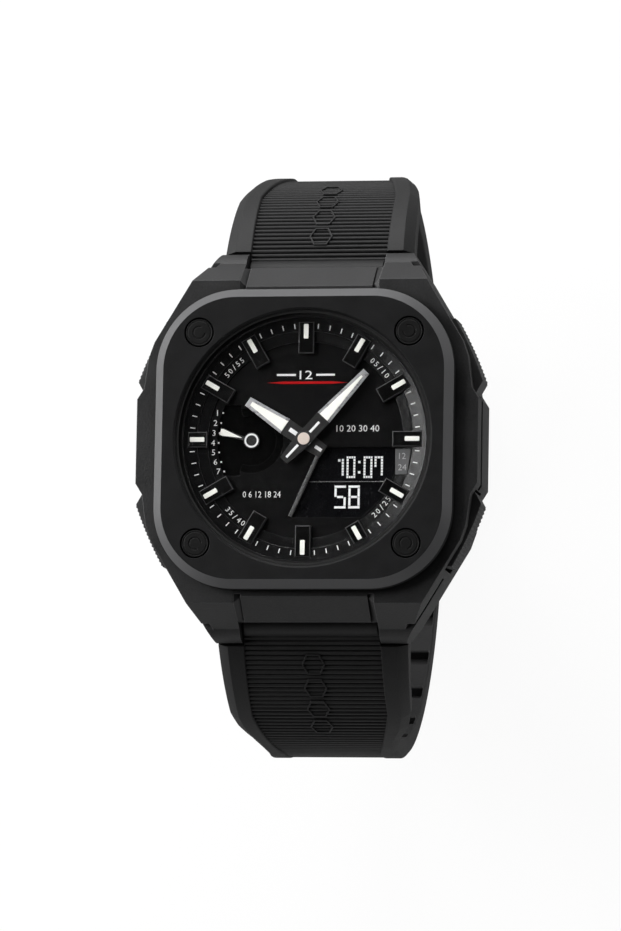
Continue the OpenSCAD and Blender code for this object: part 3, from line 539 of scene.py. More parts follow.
@cache
def brushed_group() -> bpy.types.NodeTree:
    """Brushed metal: noise drawn out along X, so fine lines run that way.

    Returns:
        The group, made once.
    """
    w, into, out = group("brushed", {"Size": 0.1}, {"Height": "Float", "Shade": "Float"})
    place = w.node("TexCoord").outputs["Object"]
    drawn = w.node("Mapping", Vector=place, Scale=(BRUSH_STRETCH, 1.0, 1.0)).outputs[0]
    scale = w.math("DIVIDE", 1.0 / MM, into.outputs["Size"])
    lines = w.node("TexNoise", Vector=drawn, Scale=scale, Detail=2.0).outputs[0]
    w.tree.links.new(lines, out.inputs["Height"])
    w.tree.links.new(lines, out.inputs["Shade"])
    return w.tree


class Texture(Enum):
    """What the relief of a finish looks like."""

    GRAIN = "grain"
    BRUSHED = "brushed"


@dataclass(frozen=True)
class Finish:
    """One finish with its own material.

    Attributes:
        name: name of the material.
        colour: linear colour of the plain surface.
        roughness: roughness of the plain surface.
        metallic: 1 for bare metal.
        specular: specular level.
        texture: kind of relief.
        grain: size of the relief's features in mm.
        relief: height of the relief in mm.
        mottle: share by which the colour varies.
        edge: share by which edges are painted lighter, a painted highlight.
        edge_radius: radius of the rounded edges in mm.
        coat: weight of a clear coat.
        neighbours: whether pieces close by add to the painted shade in its hollows.
        hollow: share of the colour that is left in a hollow, as painted shade.
        swing: by how much the roughness varies.
        grazing: power by which faces that are seen edge-on turn rough.
        worn_gain: how much lighter the colour of an edge gets with its share, a painted highlight.
        worn_lift: grey that is added to it there.
        worn_reach: how far that colour shows with its share.
    """

    name: str
    colour: Triple
    roughness: float
    metallic: float = 0.0
    specular: float = 0.5
    texture: Texture = Texture.GRAIN
    grain: float = 0.15
    relief: float = 0.004
    mottle: float = 0.25
    edge: float = 0.4
    edge_radius: float = 0.1
    coat: float = 0.0
    neighbours: bool = False
    hollow: float = 0.15
    swing: float = 0.16
    grazing: float = 2.0
    worn_gain: float = 2.0
    worn_lift: float = 0.02
    worn_reach: float = 1.5

    @cache
    def material(self) -> bpy.types.Material:
        """Makes the finish's material at its first use.

        Returns:
            The material.
        """
        made = bpy.data.materials.new(f"{self.name}_finish")
        made.use_nodes = True
        w = Wiring(made.node_tree)
        surface = w.node("BsdfPrincipled")
        self.wire(w, surface)
        self.close(w, surface)
        made.diffuse_color = (*self.colour, 1)
        return made

    def relief_of(self, w: Wiring) -> tuple[bpy.types.NodeSocket, bpy.types.NodeSocket]:
        """Places the finish's texture.

        Args:
            w: wiring of the material.

        Returns:
            Its height and its shade.
        """
        tree = grain_group() if self.texture is Texture.GRAIN else brushed_group()
        made = w.node("Group", {"node_tree": tree}, Size=self.grain)
        return made.outputs["Height"], made.outputs["Shade"]

    def wire(self, w: Wiring, surface: bpy.types.Node) -> None:
        """Joins colour, roughness and relief to the shader.

        Args:
            w: wiring of the material.
            surface: its Principled BSDF.
        """
        height, shade = self.relief_of(w)
        edges = w.node("Group", {"node_tree": edge_group(self.neighbours)}, Radius=self.edge_radius)
        # Painted highlight: the colour is lighter on the edges
        colour = self.tinted(w, shade, edges.outputs["Edge"])
        # Painted shade: the colour is darker in hollows, by ambient occlusion
        colour = w.blend(edges.outputs["Open"], (*(self.hollow * c for c in self.colour), 1), colour)
        w.tree.links.new(colour, surface.inputs["Base Color"])
        rough = w.math("MULTIPLY_ADD", shade, self.swing)
        rough.node.inputs[2].default_value = self.roughness - self.swing / 2
        flat = w.math("POWER", w.node("LayerWeight", Blend=0.5).outputs["Facing"], self.grazing)
        rough = w.math("ADD", rough, w.math("MULTIPLY", flat, 1.0 - self.roughness), True)
        w.tree.links.new(rough, surface.inputs["Roughness"])
        bump = w.node("Bump", Height=height, Normal=edges.outputs["Normal"], Distance=self.relief * MM)
        bump.inputs["Strength"].default_value = 1.0
        w.tree.links.new(bump.outputs[0], surface.inputs["Normal"])
        surface.inputs["Metallic"].default_value = self.metallic
        surface.inputs["Specular IOR Level"].default_value = self.specular
        surface.inputs["Coat Weight"].default_value = self.coat

    def tinted(self, w: Wiring, shade: object, edge: object) -> bpy.types.NodeSocket:
        """Colour between a darker and a lighter tone by shade, with a painted highlight that lightens it on
        the edges.

        Args:
            w: wiring of the material.
            shade: mask of the lighter tone.
            edge: mask of the edges' painted highlight.

        Returns:
            The colour.
        """
        base = np.array(self.colour)
        dark, light = base * (1 - self.mottle), np.minimum(base * (1 + self.mottle), 1)
        plain = w.blend(shade, (*dark, 1), (*light, 1))
        painted_highlight = np.minimum(base * (1 + self.worn_gain * self.edge) + self.worn_lift * self.edge, 1)
        shown = w.math("MULTIPLY", edge, min(1.0, self.worn_reach * self.edge))
        return w.blend(shown, plain, (*painted_highlight, 1))

    def close(self, w: Wiring, surface: bpy.types.Node) -> None:
        """Joins the shader to the material's output."""
        w.node("OutputMaterial", Surface=surface.outputs[0])


@dataclass(frozen=True)
class ChamferFinish(Finish):
    """Black whose 45 degree chamfer is a lighter band, a painted highlight.

    Attributes:
        chamfer: colour of the band, a painted highlight.
        chamfer_roughness: its roughness.
        above: height in mm over which the band lies.
        beyond: distance in mm from the dial axis beyond which it lies.
        lean: height of the normal of its faces.
        lean_off: how far a normal's height may be off that.
    """

    chamfer: Triple = (0.075, 0.075, 0.077)
    chamfer_roughness: float = 0.38
    above: float = 14.1
    beyond: float = 19.5
    lean: float = 0.707
    lean_off: float = 0.12

    def wire(self, w: Wiring, surface: bpy.types.Node) -> None:
        """Adds the chamfer's mask: high and outer faces that lean by about 45 degrees, whose colour is
        lightened as a painted highlight.

        Args:
            w: wiring of the material.
            surface: its Principled BSDF.
        """
        super().wire(w, surface)
        normal = w.node("NewGeometry").outputs["Normal"]
        place = w.node("SeparateXYZ", Vector=w.node("TexCoord").outputs["Object"]).outputs
        flat = w.node("CombineXYZ", X=place[0], Y=place[1])
        radius = w.node("VectorMath", {"operation": "LENGTH"}, in_0=flat.outputs[0]).outputs["Value"]
        band = w.math("COMPARE", w.node("SeparateXYZ", Vector=normal).outputs[2], self.lean)
        band.node.inputs[2].default_value = self.lean_off
        high = w.math("GREATER_THAN", place[2], self.above * MM)
        outer = w.math("GREATER_THAN", radius, self.beyond * MM)
        mask = w.math("MULTIPLY", w.math("MULTIPLY", band, high), outer)
        links = w.tree.links
        plain = surface.inputs["Base Color"].links[0].from_socket
        # Painted highlight: the band's colour is lighter than the black
        links.new(w.blend(mask, plain, (*self.chamfer, 1)), surface.inputs["Base Color"])
        rough = surface.inputs["Roughness"].links[0].from_socket
        keep = w.math("MULTIPLY", rough, w.math("SUBTRACT", 1.0, mask))
        rough = w.math("ADD", keep, w.math("MULTIPLY", mask, self.chamfer_roughness))
        links.new(rough, surface.inputs["Roughness"])


@dataclass(frozen=True)
class GlassFinish(Finish):
    """Clear glass that lets the lamps' light through to what is under it.

    Attributes:
        ior: its index of refraction, low because the crystal is thin.
        haze_scale: scale of the haze in its roughness.
    """

    ior: float = 1.08
    haze_scale: float = 180.0

    def wire(self, w: Wiring, surface: bpy.types.Node) -> None:
        """Sets the glass's own numbers and a faint haze in its roughness.

        Args:
            w: wiring of the material.
            surface: its Principled BSDF.
        """
        surface.inputs["Base Color"].default_value = (*self.colour, 1)
        surface.inputs["Transmission Weight"].default_value = 1.0
        surface.inputs["IOR"].default_value = self.ior
        place = w.node("TexCoord").outputs["Object"]
        haze = w.node("TexNoise", Vector=place, Scale=self.haze_scale, Detail=3.0).outputs[0]
        w.tree.links.new(w.math("MULTIPLY", haze, 2 * self.roughness), surface.inputs["Roughness"])

    def close(self, w: Wiring, surface: bpy.types.Node) -> None:
        """Lets light that isn't seen or mirrored pass straight through.

        Args:
            w: wiring of the material.
            surface: its Principled BSDF.
        """
        rays = w.node("LightPath").outputs
        soft = w.math("MAXIMUM", rays["Is Shadow Ray"], rays["Is Diffuse Ray"])
        clear = w.node("BsdfTransparent")
        mixed = w.node("MixShader", in_0=soft, in_1=surface.outputs[0], in_2=clear.outputs[0])
        w.node("OutputMaterial", Surface=mixed.outputs[0])


# A finish's edge share paints a highlight on its edges, and its hollow share paints shade in its hollows
RESIN_CASE = Finish("resin_case_black", (0.013, 0.013, 0.0135), 0.45, specular=0.24, grain=0.28,
                    relief=0.026, mottle=0.5, edge=1.6, edge_radius=0.16, neighbours=True)
RESIN_STRAP = Finish("resin_strap_black", (0.007, 0.007, 0.0073), 0.5, specular=0.2, grain=0.3,
                     relief=0.026, mottle=0.45, edge=0.5, neighbours=True)
# The bezel's chamfer band is lighter, a painted highlight
BEZEL = ChamferFinish("bezel_blasted_black", (0.006, 0.006, 0.0063), 0.5, specular=0.12, grain=0.16,
                      relief=0.008, mottle=0.4, neighbours=True)
BOLT = Finish("bolt_black", (0.004, 0.004, 0.004), 0.4, specular=0.14, edge=0.9, edge_radius=0.07)
PUSHER = Finish("pusher_black", (0.014, 0.014, 0.0145), 0.4, specular=0.4, relief=0.006, edge=0.9,
                edge_radius=0.07)
GLASS = GlassFinish("crystal_glass", (1.0, 1.0, 1.0), 0.0)
RUBBER = Finish("gasket_rubber", (0.012, 0.012, 0.012), 0.7, specular=0.2)
STEEL = Finish("back_steel", (0.5, 0.5, 0.5), 0.32, 1.0, texture=Texture.BRUSHED, relief=0.002,
               mottle=0.15)
BRIGHT = Finish("turned_steel", (0.6, 0.6, 0.6), 0.25, 1.0, texture=Texture.BRUSHED, relief=0.001,
                mottle=0.1)
BRASS = Finish("brass", (0.62, 0.42, 0.16), 0.33, 1.0, texture=Texture.BRUSHED, relief=0.002, mottle=0.12)
COPPER = Finish("coil_copper", (0.62, 0.25, 0.1), 0.4, 1.0, texture=Texture.BRUSHED, grain=0.2,
                relief=0.02)
BOARD = Finish("board_green", (0.01, 0.09, 0.035), 0.4, mottle=0.3, coat=0.3)
HOLDER = Finish("holder_white", (0.6, 0.6, 0.58), 0.5, mottle=0.06)
GUIDE = Finish("guide_clear", (0.6, 0.65, 0.65), 0.3, mottle=0.1)
ZEBRA = Finish("zebra_rubber", (0.5, 0.24, 0.28), 0.7, mottle=0.2)
DIAL = Finish("dial_black", (0.0015, 0.0015, 0.0016), 0.42, specular=0.06, grain=0.07, relief=0.0015,
              edge=0.6)
RING = Finish("ring_black", (0.004, 0.004, 0.0042), 0.22, specular=0.24, grain=0.07, relief=0.002,
              edge=0.7)
WELL = Finish("day_well_black", (0.0008, 0.0008, 0.0008), 0.6, specular=0.02, grain=0.08, relief=0.001,
              edge=0.9)
# The markers' chamfers are lighter, a painted highlight
MARKER = ChamferFinish("marker_black", (0.0015, 0.0015, 0.0015), 0.22, specular=0.16, relief=0.001,
                       edge=0.2, chamfer=(0.05, 0.05, 0.051), chamfer_roughness=0.3, above=12.0,
                       beyond=0.0)
SCREEN = Finish("lcd_black", (0.0022, 0.0022, 0.0028), 0.25, specular=0.08, relief=0.0005, edge=0.2)
FRAME_GREY = Finish("frame_grey", (0.09, 0.09, 0.09), 0.3, 0.6, relief=0.001, edge=0.6)
SILVER = Finish("hand_silver", (0.42, 0.42, 0.43), 0.3, 1.0, grain=0.05, relief=0.0003, mottle=0.05)
HAND_BLACK = Finish("hand_black", (0.01, 0.01, 0.01), 0.35, specular=0.3, relief=0.0005, edge=1.0,
                    edge_radius=0.04)
BEIGE = Finish("cap_beige", (0.58, 0.5, 0.44), 0.4, relief=0.001, mottle=0.08, edge=0.1)
LUME = Finish("lume_warm_white", (0.9, 0.9, 0.84), 0.6, grain=0.05, relief=0.002, mottle=0.04, edge=0.0)
INK = Finish("ink_white", (0.8, 0.8, 0.8), 0.55, grain=0.04, relief=0.001, mottle=0.05, edge=0.0)
DIM_INK = Finish("ink_grey", (0.3, 0.3, 0.3), 0.55, grain=0.04, relief=0.001, mottle=0.05, edge=0.0)
RED = Finish("ink_red", (0.4, 0.002, 0.003), 0.5, specular=0.1, grain=0.05, relief=0.001, mottle=0.1,
             edge=0.0)
LABEL = Finish("label_grey", (0.06, 0.06, 0.062), 0.5, grain=0.06, relief=0.001, edge=0.2)
SEGMENT = Finish("segment_white", (0.85, 0.86, 0.86), 0.5, grain=0.04, relief=0.0005, mottle=0.03,
                 edge=0.0)
BUCKLE = Finish("buckle_black", (0.03, 0.03, 0.031), 0.3, 0.7, texture=Texture.BRUSHED, relief=0.001,
                edge=0.6)

# Hours that the pushers stand at
PUSHER_HOURS = (2, 4, 8, 10)


def pushers(ending: str = "") -> tuple[str, ...]:
    """Names of the four pushers' nodes that have this ending."""
    return tuple(f"pusher_{hour}{ending}" for hour in PUSHER_HOURS)


CAD_FINISHES: dict[Finish, tuple[str, ...]] = {
    RESIN_CASE: ("case_shell",),
    BEZEL: ("bezel",),
    GLASS: ("crystal",),
    RUBBER: ("crystal_gasket", "case_back_gasket", *pushers("_gasket")),
    STEEL: ("case_back", "battery", "battery_clip"),
    BRIGHT: (
        "case_back_screws", "pusher_tubes", "spring_bar_upper", "spring_bar_lower", "buckle_pin",
        "minute_arbor", *pushers("_clip"), *pushers("_spring"),
    ),
    BRASS: ("movement_plate", "buzzer", "hour_wheel", "minute_wheel"),
    COPPER: ("step_motors",),
    BOARD: ("circuit_board",),
    HOLDER: ("movement_holder",),
    GUIDE: ("light_guide",),
    ZEBRA: ("zebra_strip",),
    DIAL: ("dial_plate",),
    WELL: ("day_dial",),
    RING: ("minute_ring",),
    SCREEN: ("lcd_panel",),
    FRAME_GREY: ("lcd_frame",),
    SILVER: ("minute_hand", "hour_hand"),
    HAND_BLACK: ("day_hand", "day_arbor"),
    BEIGE: ("hand_cap",),
    PUSHER: pushers(),
    BUCKLE: ("buckle_frame", "buckle_tongue"),
}


def dress_nodes(nodes: dict[str, bpy.types.Object]) -> None:
    """Gives each CAD node that stays in view its finish.

    Args:
        nodes: the frame's nodes by name.
    """
    for finish, names in CAD_FINISHES.items():
        for name in names:
            slots = nodes[name].data.materials
            slots.clear()
            slots.append(finish.material())
        LOG.info("%s on %s", finish.name, ", ".join(names))


# Dial prints

# Thickness of the prints, height of a slash beside digits, and gap between the bars of a digit
INK_THICK = 0.02
SLASH_SCALE = 1.15
SEGMENT_GAP = 0.07


def lettering(text: str, height: float, width: float | None = None) -> Surface:
    """Plain digits or marks as thin plates from height 0 up, centred on the origin.

    The font's outlines are filled and thickened; then they are scaled so that the box of the
    text has the asked height, and the asked width where one is given.

    Args:
        text: what is written.
        height: height of the text's box.
        width: width of the text's box, or None to keep the font's own.

    Returns:
        The plates.
    """
    curve = bpy.data.curves.new("text", "FONT")
    curve.body = text
    curve.resolution_u = 2
    curve.extrude = 0.1
    obj = bpy.data.objects.new("text", curve)
    bpy.context.scene.collection.objects.link(obj)
    flat = taken(obj)
    bpy.data.curves.remove(curve)
    low, high = flat.points.min(0), flat.points.max(0)
    box = high - low
    scale = height / box[1]
    wide = scale if width is None else width / box[0]
    foot = ((low[0] + high[0]) / 2, (low[1] + high[1]) / 2, low[2])
    return Surface((flat.points - foot) * (wide, scale, INK_THICK / box[2]), flat.faces)


def arc_lettering(
    text: str, radius: float, angle: float, height: float, step: float, upright: bool
) -> Surface:
    """Marks set one by one along a circle about the Z axis.

    Args:
        text: what is written.
        radius: radius of the marks' middle.
        angle: clock angle of the text's middle.
        height: height of a digit.
        step: angle between two marks.
        upright: whether the tops point away from the centre.

    Returns:
        The marks.
    """
    sign = 1 if upright else -1
    made = []
    for i, mark in enumerate(text):
        at = angle + sign * step * (i - (len(text) - 1) / 2)
        shape = lettering(mark, height * (SLASH_SCALE if mark == "/" else 1.0))
        shape = shape.moved(clockwise(0 if upright else 180), (0, radius, 0))
        made.append(shape.moved(clockwise(at)))
    return joined(made)


class Segments(Enum):
    """Which of a digit's seven bars are lit, from the top one clockwise and the middle last."""

    D0 = "abcdef"
    D1 = "bc"
    D5 = "afgcd"
    D7 = "abcf"
    D8 = "abcdefg"


def digit(
    shape: Segments, x: float, y: float, w: float, h: float, stroke: float, blocks: bool
) -> np.ndarray:
    """Outlines of one liquid crystal digit.

    Args:
        shape: its lit bars.
        x: left edge.
        y: top edge.
        w: width.
        h: height.
        stroke: width of a bar.
        blocks: whether each bar is split into small blocks.

    Returns:
        (bars, 4, 2) outlines.
    """
    s, gap, mid = stroke, SEGMENT_GAP, y - h / 2
    places = {
        "a": (x, y - s, x + w, y),
        "d": (x, y - h, x + w, y - h + s),
        "g": (x + s + gap, mid - s / 2, x + w - s - gap, mid + s / 2),
        "b": (x + w - s, mid + gap / 2, x + w, y - s - gap),
        "c": (x + w - s, y - h + s + gap, x + w, mid - gap / 2),
        "f": (x, mid + gap / 2, x + s, y - s - gap),
        "e": (x, y - h + s + gap, x + s, mid - gap / 2),
    }
    rows = []
    for bar in shape.value:
        x0, y0, x1, y1 = places[bar]
        if not blocks:
            rows.append((x0, y0, x1, y1))
            continue
        across = max(1, round((x1 - x0) / (s + gap)))
        down = max(1, round((y1 - y0) / (s + gap)))
        xs, ys = np.linspace(x0, x1 + gap, across + 1), np.linspace(y0, y1 + gap, down + 1)
        rows += [(a, b, c - gap, d - gap) for a, c in zip(xs, xs[1:]) for b, d in zip(ys, ys[1:])]
    return bars(rows)


@dataclass
class Dial:
    """Prints and lit digits on the dial, its ring and its windows.

    Attributes:
        top: height of the dial's face.
        screen: height of the liquid crystal's face.
        tick_y: radii at which the minute lines start and end.
        tick_w: their width.
        tick_h: their thickness.
        slope: radii and heights of the ring's sloping face.
        marker: width, length, outer radius and height of an hour marker.
        marker_cut: how much shorter each marker is, from 12 o'clock clockwise.
        marker_edge: width of its chamfer.
        bar: width, length, outer radius and cut corner of a marker's lume.
        bar_z: underside and top of the lume, from the marker's top.
        texts: text, x, y, height and width of each print on the dial's face.
        dashes: left, bottom, right and top of the dashes beside the 12.
        day_marks: middle of each day's mark.
        day_text: height of a day's digit and its shift to the left.
        day_dot: left, bottom, right and top of a day's dot, from the mark's middle.
        ring_texts: clock angle and text beside each pusher, and whether its tops point outwards.
        ring_text: radius, height, step in degrees and level of those texts.
        upper_line: top, height and stroke of the liquid crystal's upper digits.
        upper_digits: lit bars, left edge and width of each of them.
        lower_line: top, height and stroke of the lower digits.
        lower_digits: lit bars, left edge and width of each of them.
        dots: left, bottom, right and top of the colon's dots and of the block at the first digit.
        red: x and y of the red line's middle, half its length, half its full part, half its width.
        label_outline: corners of the small grey plate.
        label_z: its underside and top.
        label_texts: text, x and y of what stands on it.
        label_text_h: height of those texts.
        day_x: place of the day hand's axis.
        day_z: underside and top of the day hand's marks.
        day_ring: inner and outer radius of its ring.
        day_arrow: (y, half width) stations of its arrow.
        day_angle: its clock angle at rest.
    """

    top: float = 12.2
    screen: float = 11.6
    tick_y: Pair = (16.3, 17.0)
    tick_w: float = 0.14
    tick_h: float = 0.03
    slope: Quad = (15.95, 12.9, 17.9, 13.3)
    marker: Quad = (2.26, 4.6, 17.2, 13.3)
    marker_cut: tuple[float, ...] = (0, 0, 0, 0.3, 0.7, 1.7, 0, 0, 0, 1.8, 0, 0)
    marker_edge: float = 0.13
    bar: Quad = (0.68, 2.15, 16.9, 0.09)
    bar_z: Pair = (-0.02, 0.08)
    texts: tuple[tuple[str, float, float, float, float], ...] = (
        ("12", -0.1, 9.57, 1.25, 1.9),
        ("10 20 30 40", 7.67, 1.68, 0.95, 6.3),
        ("0 6 12 18 24", -6.33, -7.94, 0.9, 5.6),
    )
    dashes: tuple[Quad, ...] = ((-4.4, 9.42, -1.6, 9.72), (1.4, 9.42, 4.15, 9.72))
    day_marks: tuple[Pair, ...] = (
        (-12.74, 4.05), (-13.01, 2.58), (-13.2, 1.11), (-13.32, -0.36), (-13.22, -1.75), (-12.89, -3.15),
        (-12.42, -4.55),
    )
    day_text: Pair = (0.85, 0.35)
    day_dot: Quad = (0.38, -0.12, 0.6, 0.1)
    ring_texts: tuple[tuple[float, str, bool], ...] = (
        (315, "50/55", True), (46, "05/10", True), (131, "20/25", False), (222, "35/40", False),
    )
    ring_text: Quad = (15.1, 0.78, 2.9, 12.62)
    upper_line: Triple = (-2.34, 3.17, 0.3)
    upper_digits: tuple[tuple[Segments, float, float], ...] = (
        (Segments.D1, 4.4, 1.2), (Segments.D0, 6.0, 1.3), (Segments.D0, 8.5, 1.3), (Segments.D7, 10.1, 1.25),
    )
    lower_line: Triple = (-6.6, 3.35, 0.33)
    lower_digits: tuple[tuple[Segments, float, float], ...] = (
        (Segments.D5, 4.29, 1.68), (Segments.D8, 6.34, 1.68),
    )
    dots: tuple[Quad, ...] = (
        (7.7, -3.35, 8.05, -3.0), (7.7, -4.85, 8.05, -4.5), (4.75, -3.1, 5.1, -2.75),
    )
    red: tuple[float, float, float, float, float] = (0.1, 8.42, 6.0, 3.6, 0.18)
    label_outline: tuple[Pair, ...] = ((13.3, -1.4), (13.35, -5.15), (15.05, -5.15), (15.6, -1.4))
    label_z: Pair = (12.5, 12.72)
    label_texts: tuple[tuple[str, float, float], ...] = (("12", 14.35, -2.45), ("24", 14.35, -4.1))
    label_text_h: float = 0.9
    day_x: float = -8.03
    day_z: Pair = (11.94, 11.98)
    day_ring: Pair = (0.78, 1.04)
    day_arrow: tuple[Pair, ...] = ((1.54, 0.03), (4.4, 0.5), (4.83, 0.44))
    day_angle: float = 286.0

    def ticks(self) -> Surface:
        """Minute lines that lie on the ring's slope, none under an hour marker.

        Returns:
            The lines.
        """
        r0, z0, r1, z1 = self.slope
        start, end = self.tick_y
        line = plates(bars([(-self.tick_w / 2, start, self.tick_w / 2, end)]), 0.0, self.tick_h)
        line.points[:, 2] += z0 + (line.points[:, 1] - r0) * (z1 - z0) / (r1 - r0)
        return joined([line.moved(clockwise(6.0 * i)) for i in range(60) if i % 5])

    def markers(self) -> tuple[Surface, Surface]:
        """Chamfered hour markers, a skin over three rectangles each, and the lume bars on them.

        Returns:
            The markers and their lume.
        """
        wide, long, out, top = self.marker
        edge = self.marker_edge
        bar_w, bar_l, bar_out, cut = self.bar
        low, half = bar_out - bar_l, bar_w / 2
        outline = wedge([(low, half - cut), (low + cut, half), (bar_out - cut, half), (bar_out, half - cut)])
        bar = plates(outline, top + self.bar_z[0], top + self.bar_z[1])
        boxes, lume = [], []
        for hour, short in enumerate(self.marker_cut):
            turn = clockwise(30 * hour)
            rings = []
            for z, d in ((self.top, 0.0), (top - edge, 0.0), (top, edge)):
                corners = bars([(d - wide / 2, out - long + short + d, wide / 2 - d, out - d)])[0]
                rings.append(np.column_stack([corners, np.full(4, z)]))
            boxes.append(skin(np.stack(rings)).moved(turn))
            lume.append(bar.moved(turn))
        return joined(boxes), joined(lume)

    def prints(self) -> Surface:
        """White marks on the dial's face.

        Returns:
            The texts, the dashes and the days' digits and dots.
        """
        high = self.top
        made = [lettering(text, tall, wide).moved(by=(x, y, high)) for text, x, y, tall, wide in self.texts]
        made.append(plates(bars(self.dashes), high, high + INK_THICK))
        tall, shift = self.day_text
        left, low, right, up = self.day_dot
        for number, (x, y) in enumerate(self.day_marks, 1):
            made.append(lettering(str(number), tall).moved(by=(x - shift, y, high)))
            made.append(plates(bars([(x + left, y + low, x + right, y + up)]), high, high + INK_THICK))
        return joined(made)

    def ring_prints(self) -> Surface:
        """Small digits along the ring's inner step.

        Returns:
            The digits.
        """
        radius, tall, step, level = self.ring_text
        made = [arc_lettering(text, radius, angle, tall, step, up) for angle, text, up in self.ring_texts]
        return joined(made).moved(by=(0, 0, level))

    def lit(self) -> Surface:
        """Digits of the liquid crystal: blocks in the upper line, plain bars in the lower one.

        Returns:
            The lit bars and dots.
        """
        lines = ((self.upper_line, self.upper_digits, True), (self.lower_line, self.lower_digits, False))
        rows = [bars(self.dots)]
        for (top, tall, stroke), digits, blocks in lines:
            rows += [digit(shape, x, top, wide, tall, stroke, blocks) for shape, x, wide in digits]
        return plates(np.concatenate(rows), self.screen, self.screen + INK_THICK)

    def red_line(self) -> Surface:
        """A straight line that narrows to both ends.

        Returns:
            The line.
        """
        x, y, long, full, half = self.red
        below = [(x - long, y), (x - full, y - half), (x + full, y - half)]
        above = [(x + long, y), (x + full, y + half), (x - full, y + half)]
        return plates(np.array(below + above)[None], self.top, self.top + INK_THICK)

    def label(self) -> Piece:
        """Small grey plate between the liquid crystal and the minute lines, with its digits.

        Returns:
            The piece, not yet built.
        """
        low, high = self.label_z
        plate = plates(np.array(self.label_outline)[None], low, high)
        tall = self.label_text_h
        digits = [lettering(text, tall).moved(by=(x, y, high)) for text, x, y in self.label_texts]
        return Piece("dial_label").add(plate, LABEL).add(joined(digits), DIM_INK)

    def day_hand(self) -> Piece:
        """White ring and arrow on the day hand.

        Returns:
            The piece, not yet built.
        """
        low, high = self.day_z
        inner, outer = self.day_ring
        at = (self.day_x, 0, 0)
        ring = lathe([(inner, low), (outer, low), (outer, high), (inner, high)], 48).moved(by=at)
        arrow = plates(wedge(self.day_arrow), low, high).moved(clockwise(self.day_angle), at)
        return Piece("day_hand_marks").add(ring, INK).add(arrow, LUME)

    def build(self) -> None:
        """Makes the dial's pieces."""
        boxes, lume = self.markers()
        markers = Piece("hour_marker_boxes").add(boxes, MARKER)
        markers.build("case", "marker_black", ("hour_markers",), smooth=20.0)
        Piece("hour_marker_lume").add(lume, LUME).build("case", "lume", ("hour_lume",))
        Piece("dial_ticks").add(self.ticks(), INK).build("case", "lume")
        Piece("dial_prints").add(self.prints(), INK).add(self.ring_prints(), INK).build("case", "lume")
        Piece("dial_red_line").add(self.red_line(), RED).build("case", "dial_black")
        Piece("lcd_digits").add(self.lit(), SEGMENT).build("case", "lcd_glass")
        self.label().build("case", "frame_grey")
        self.day_hand().build("day", "day_hand_white")


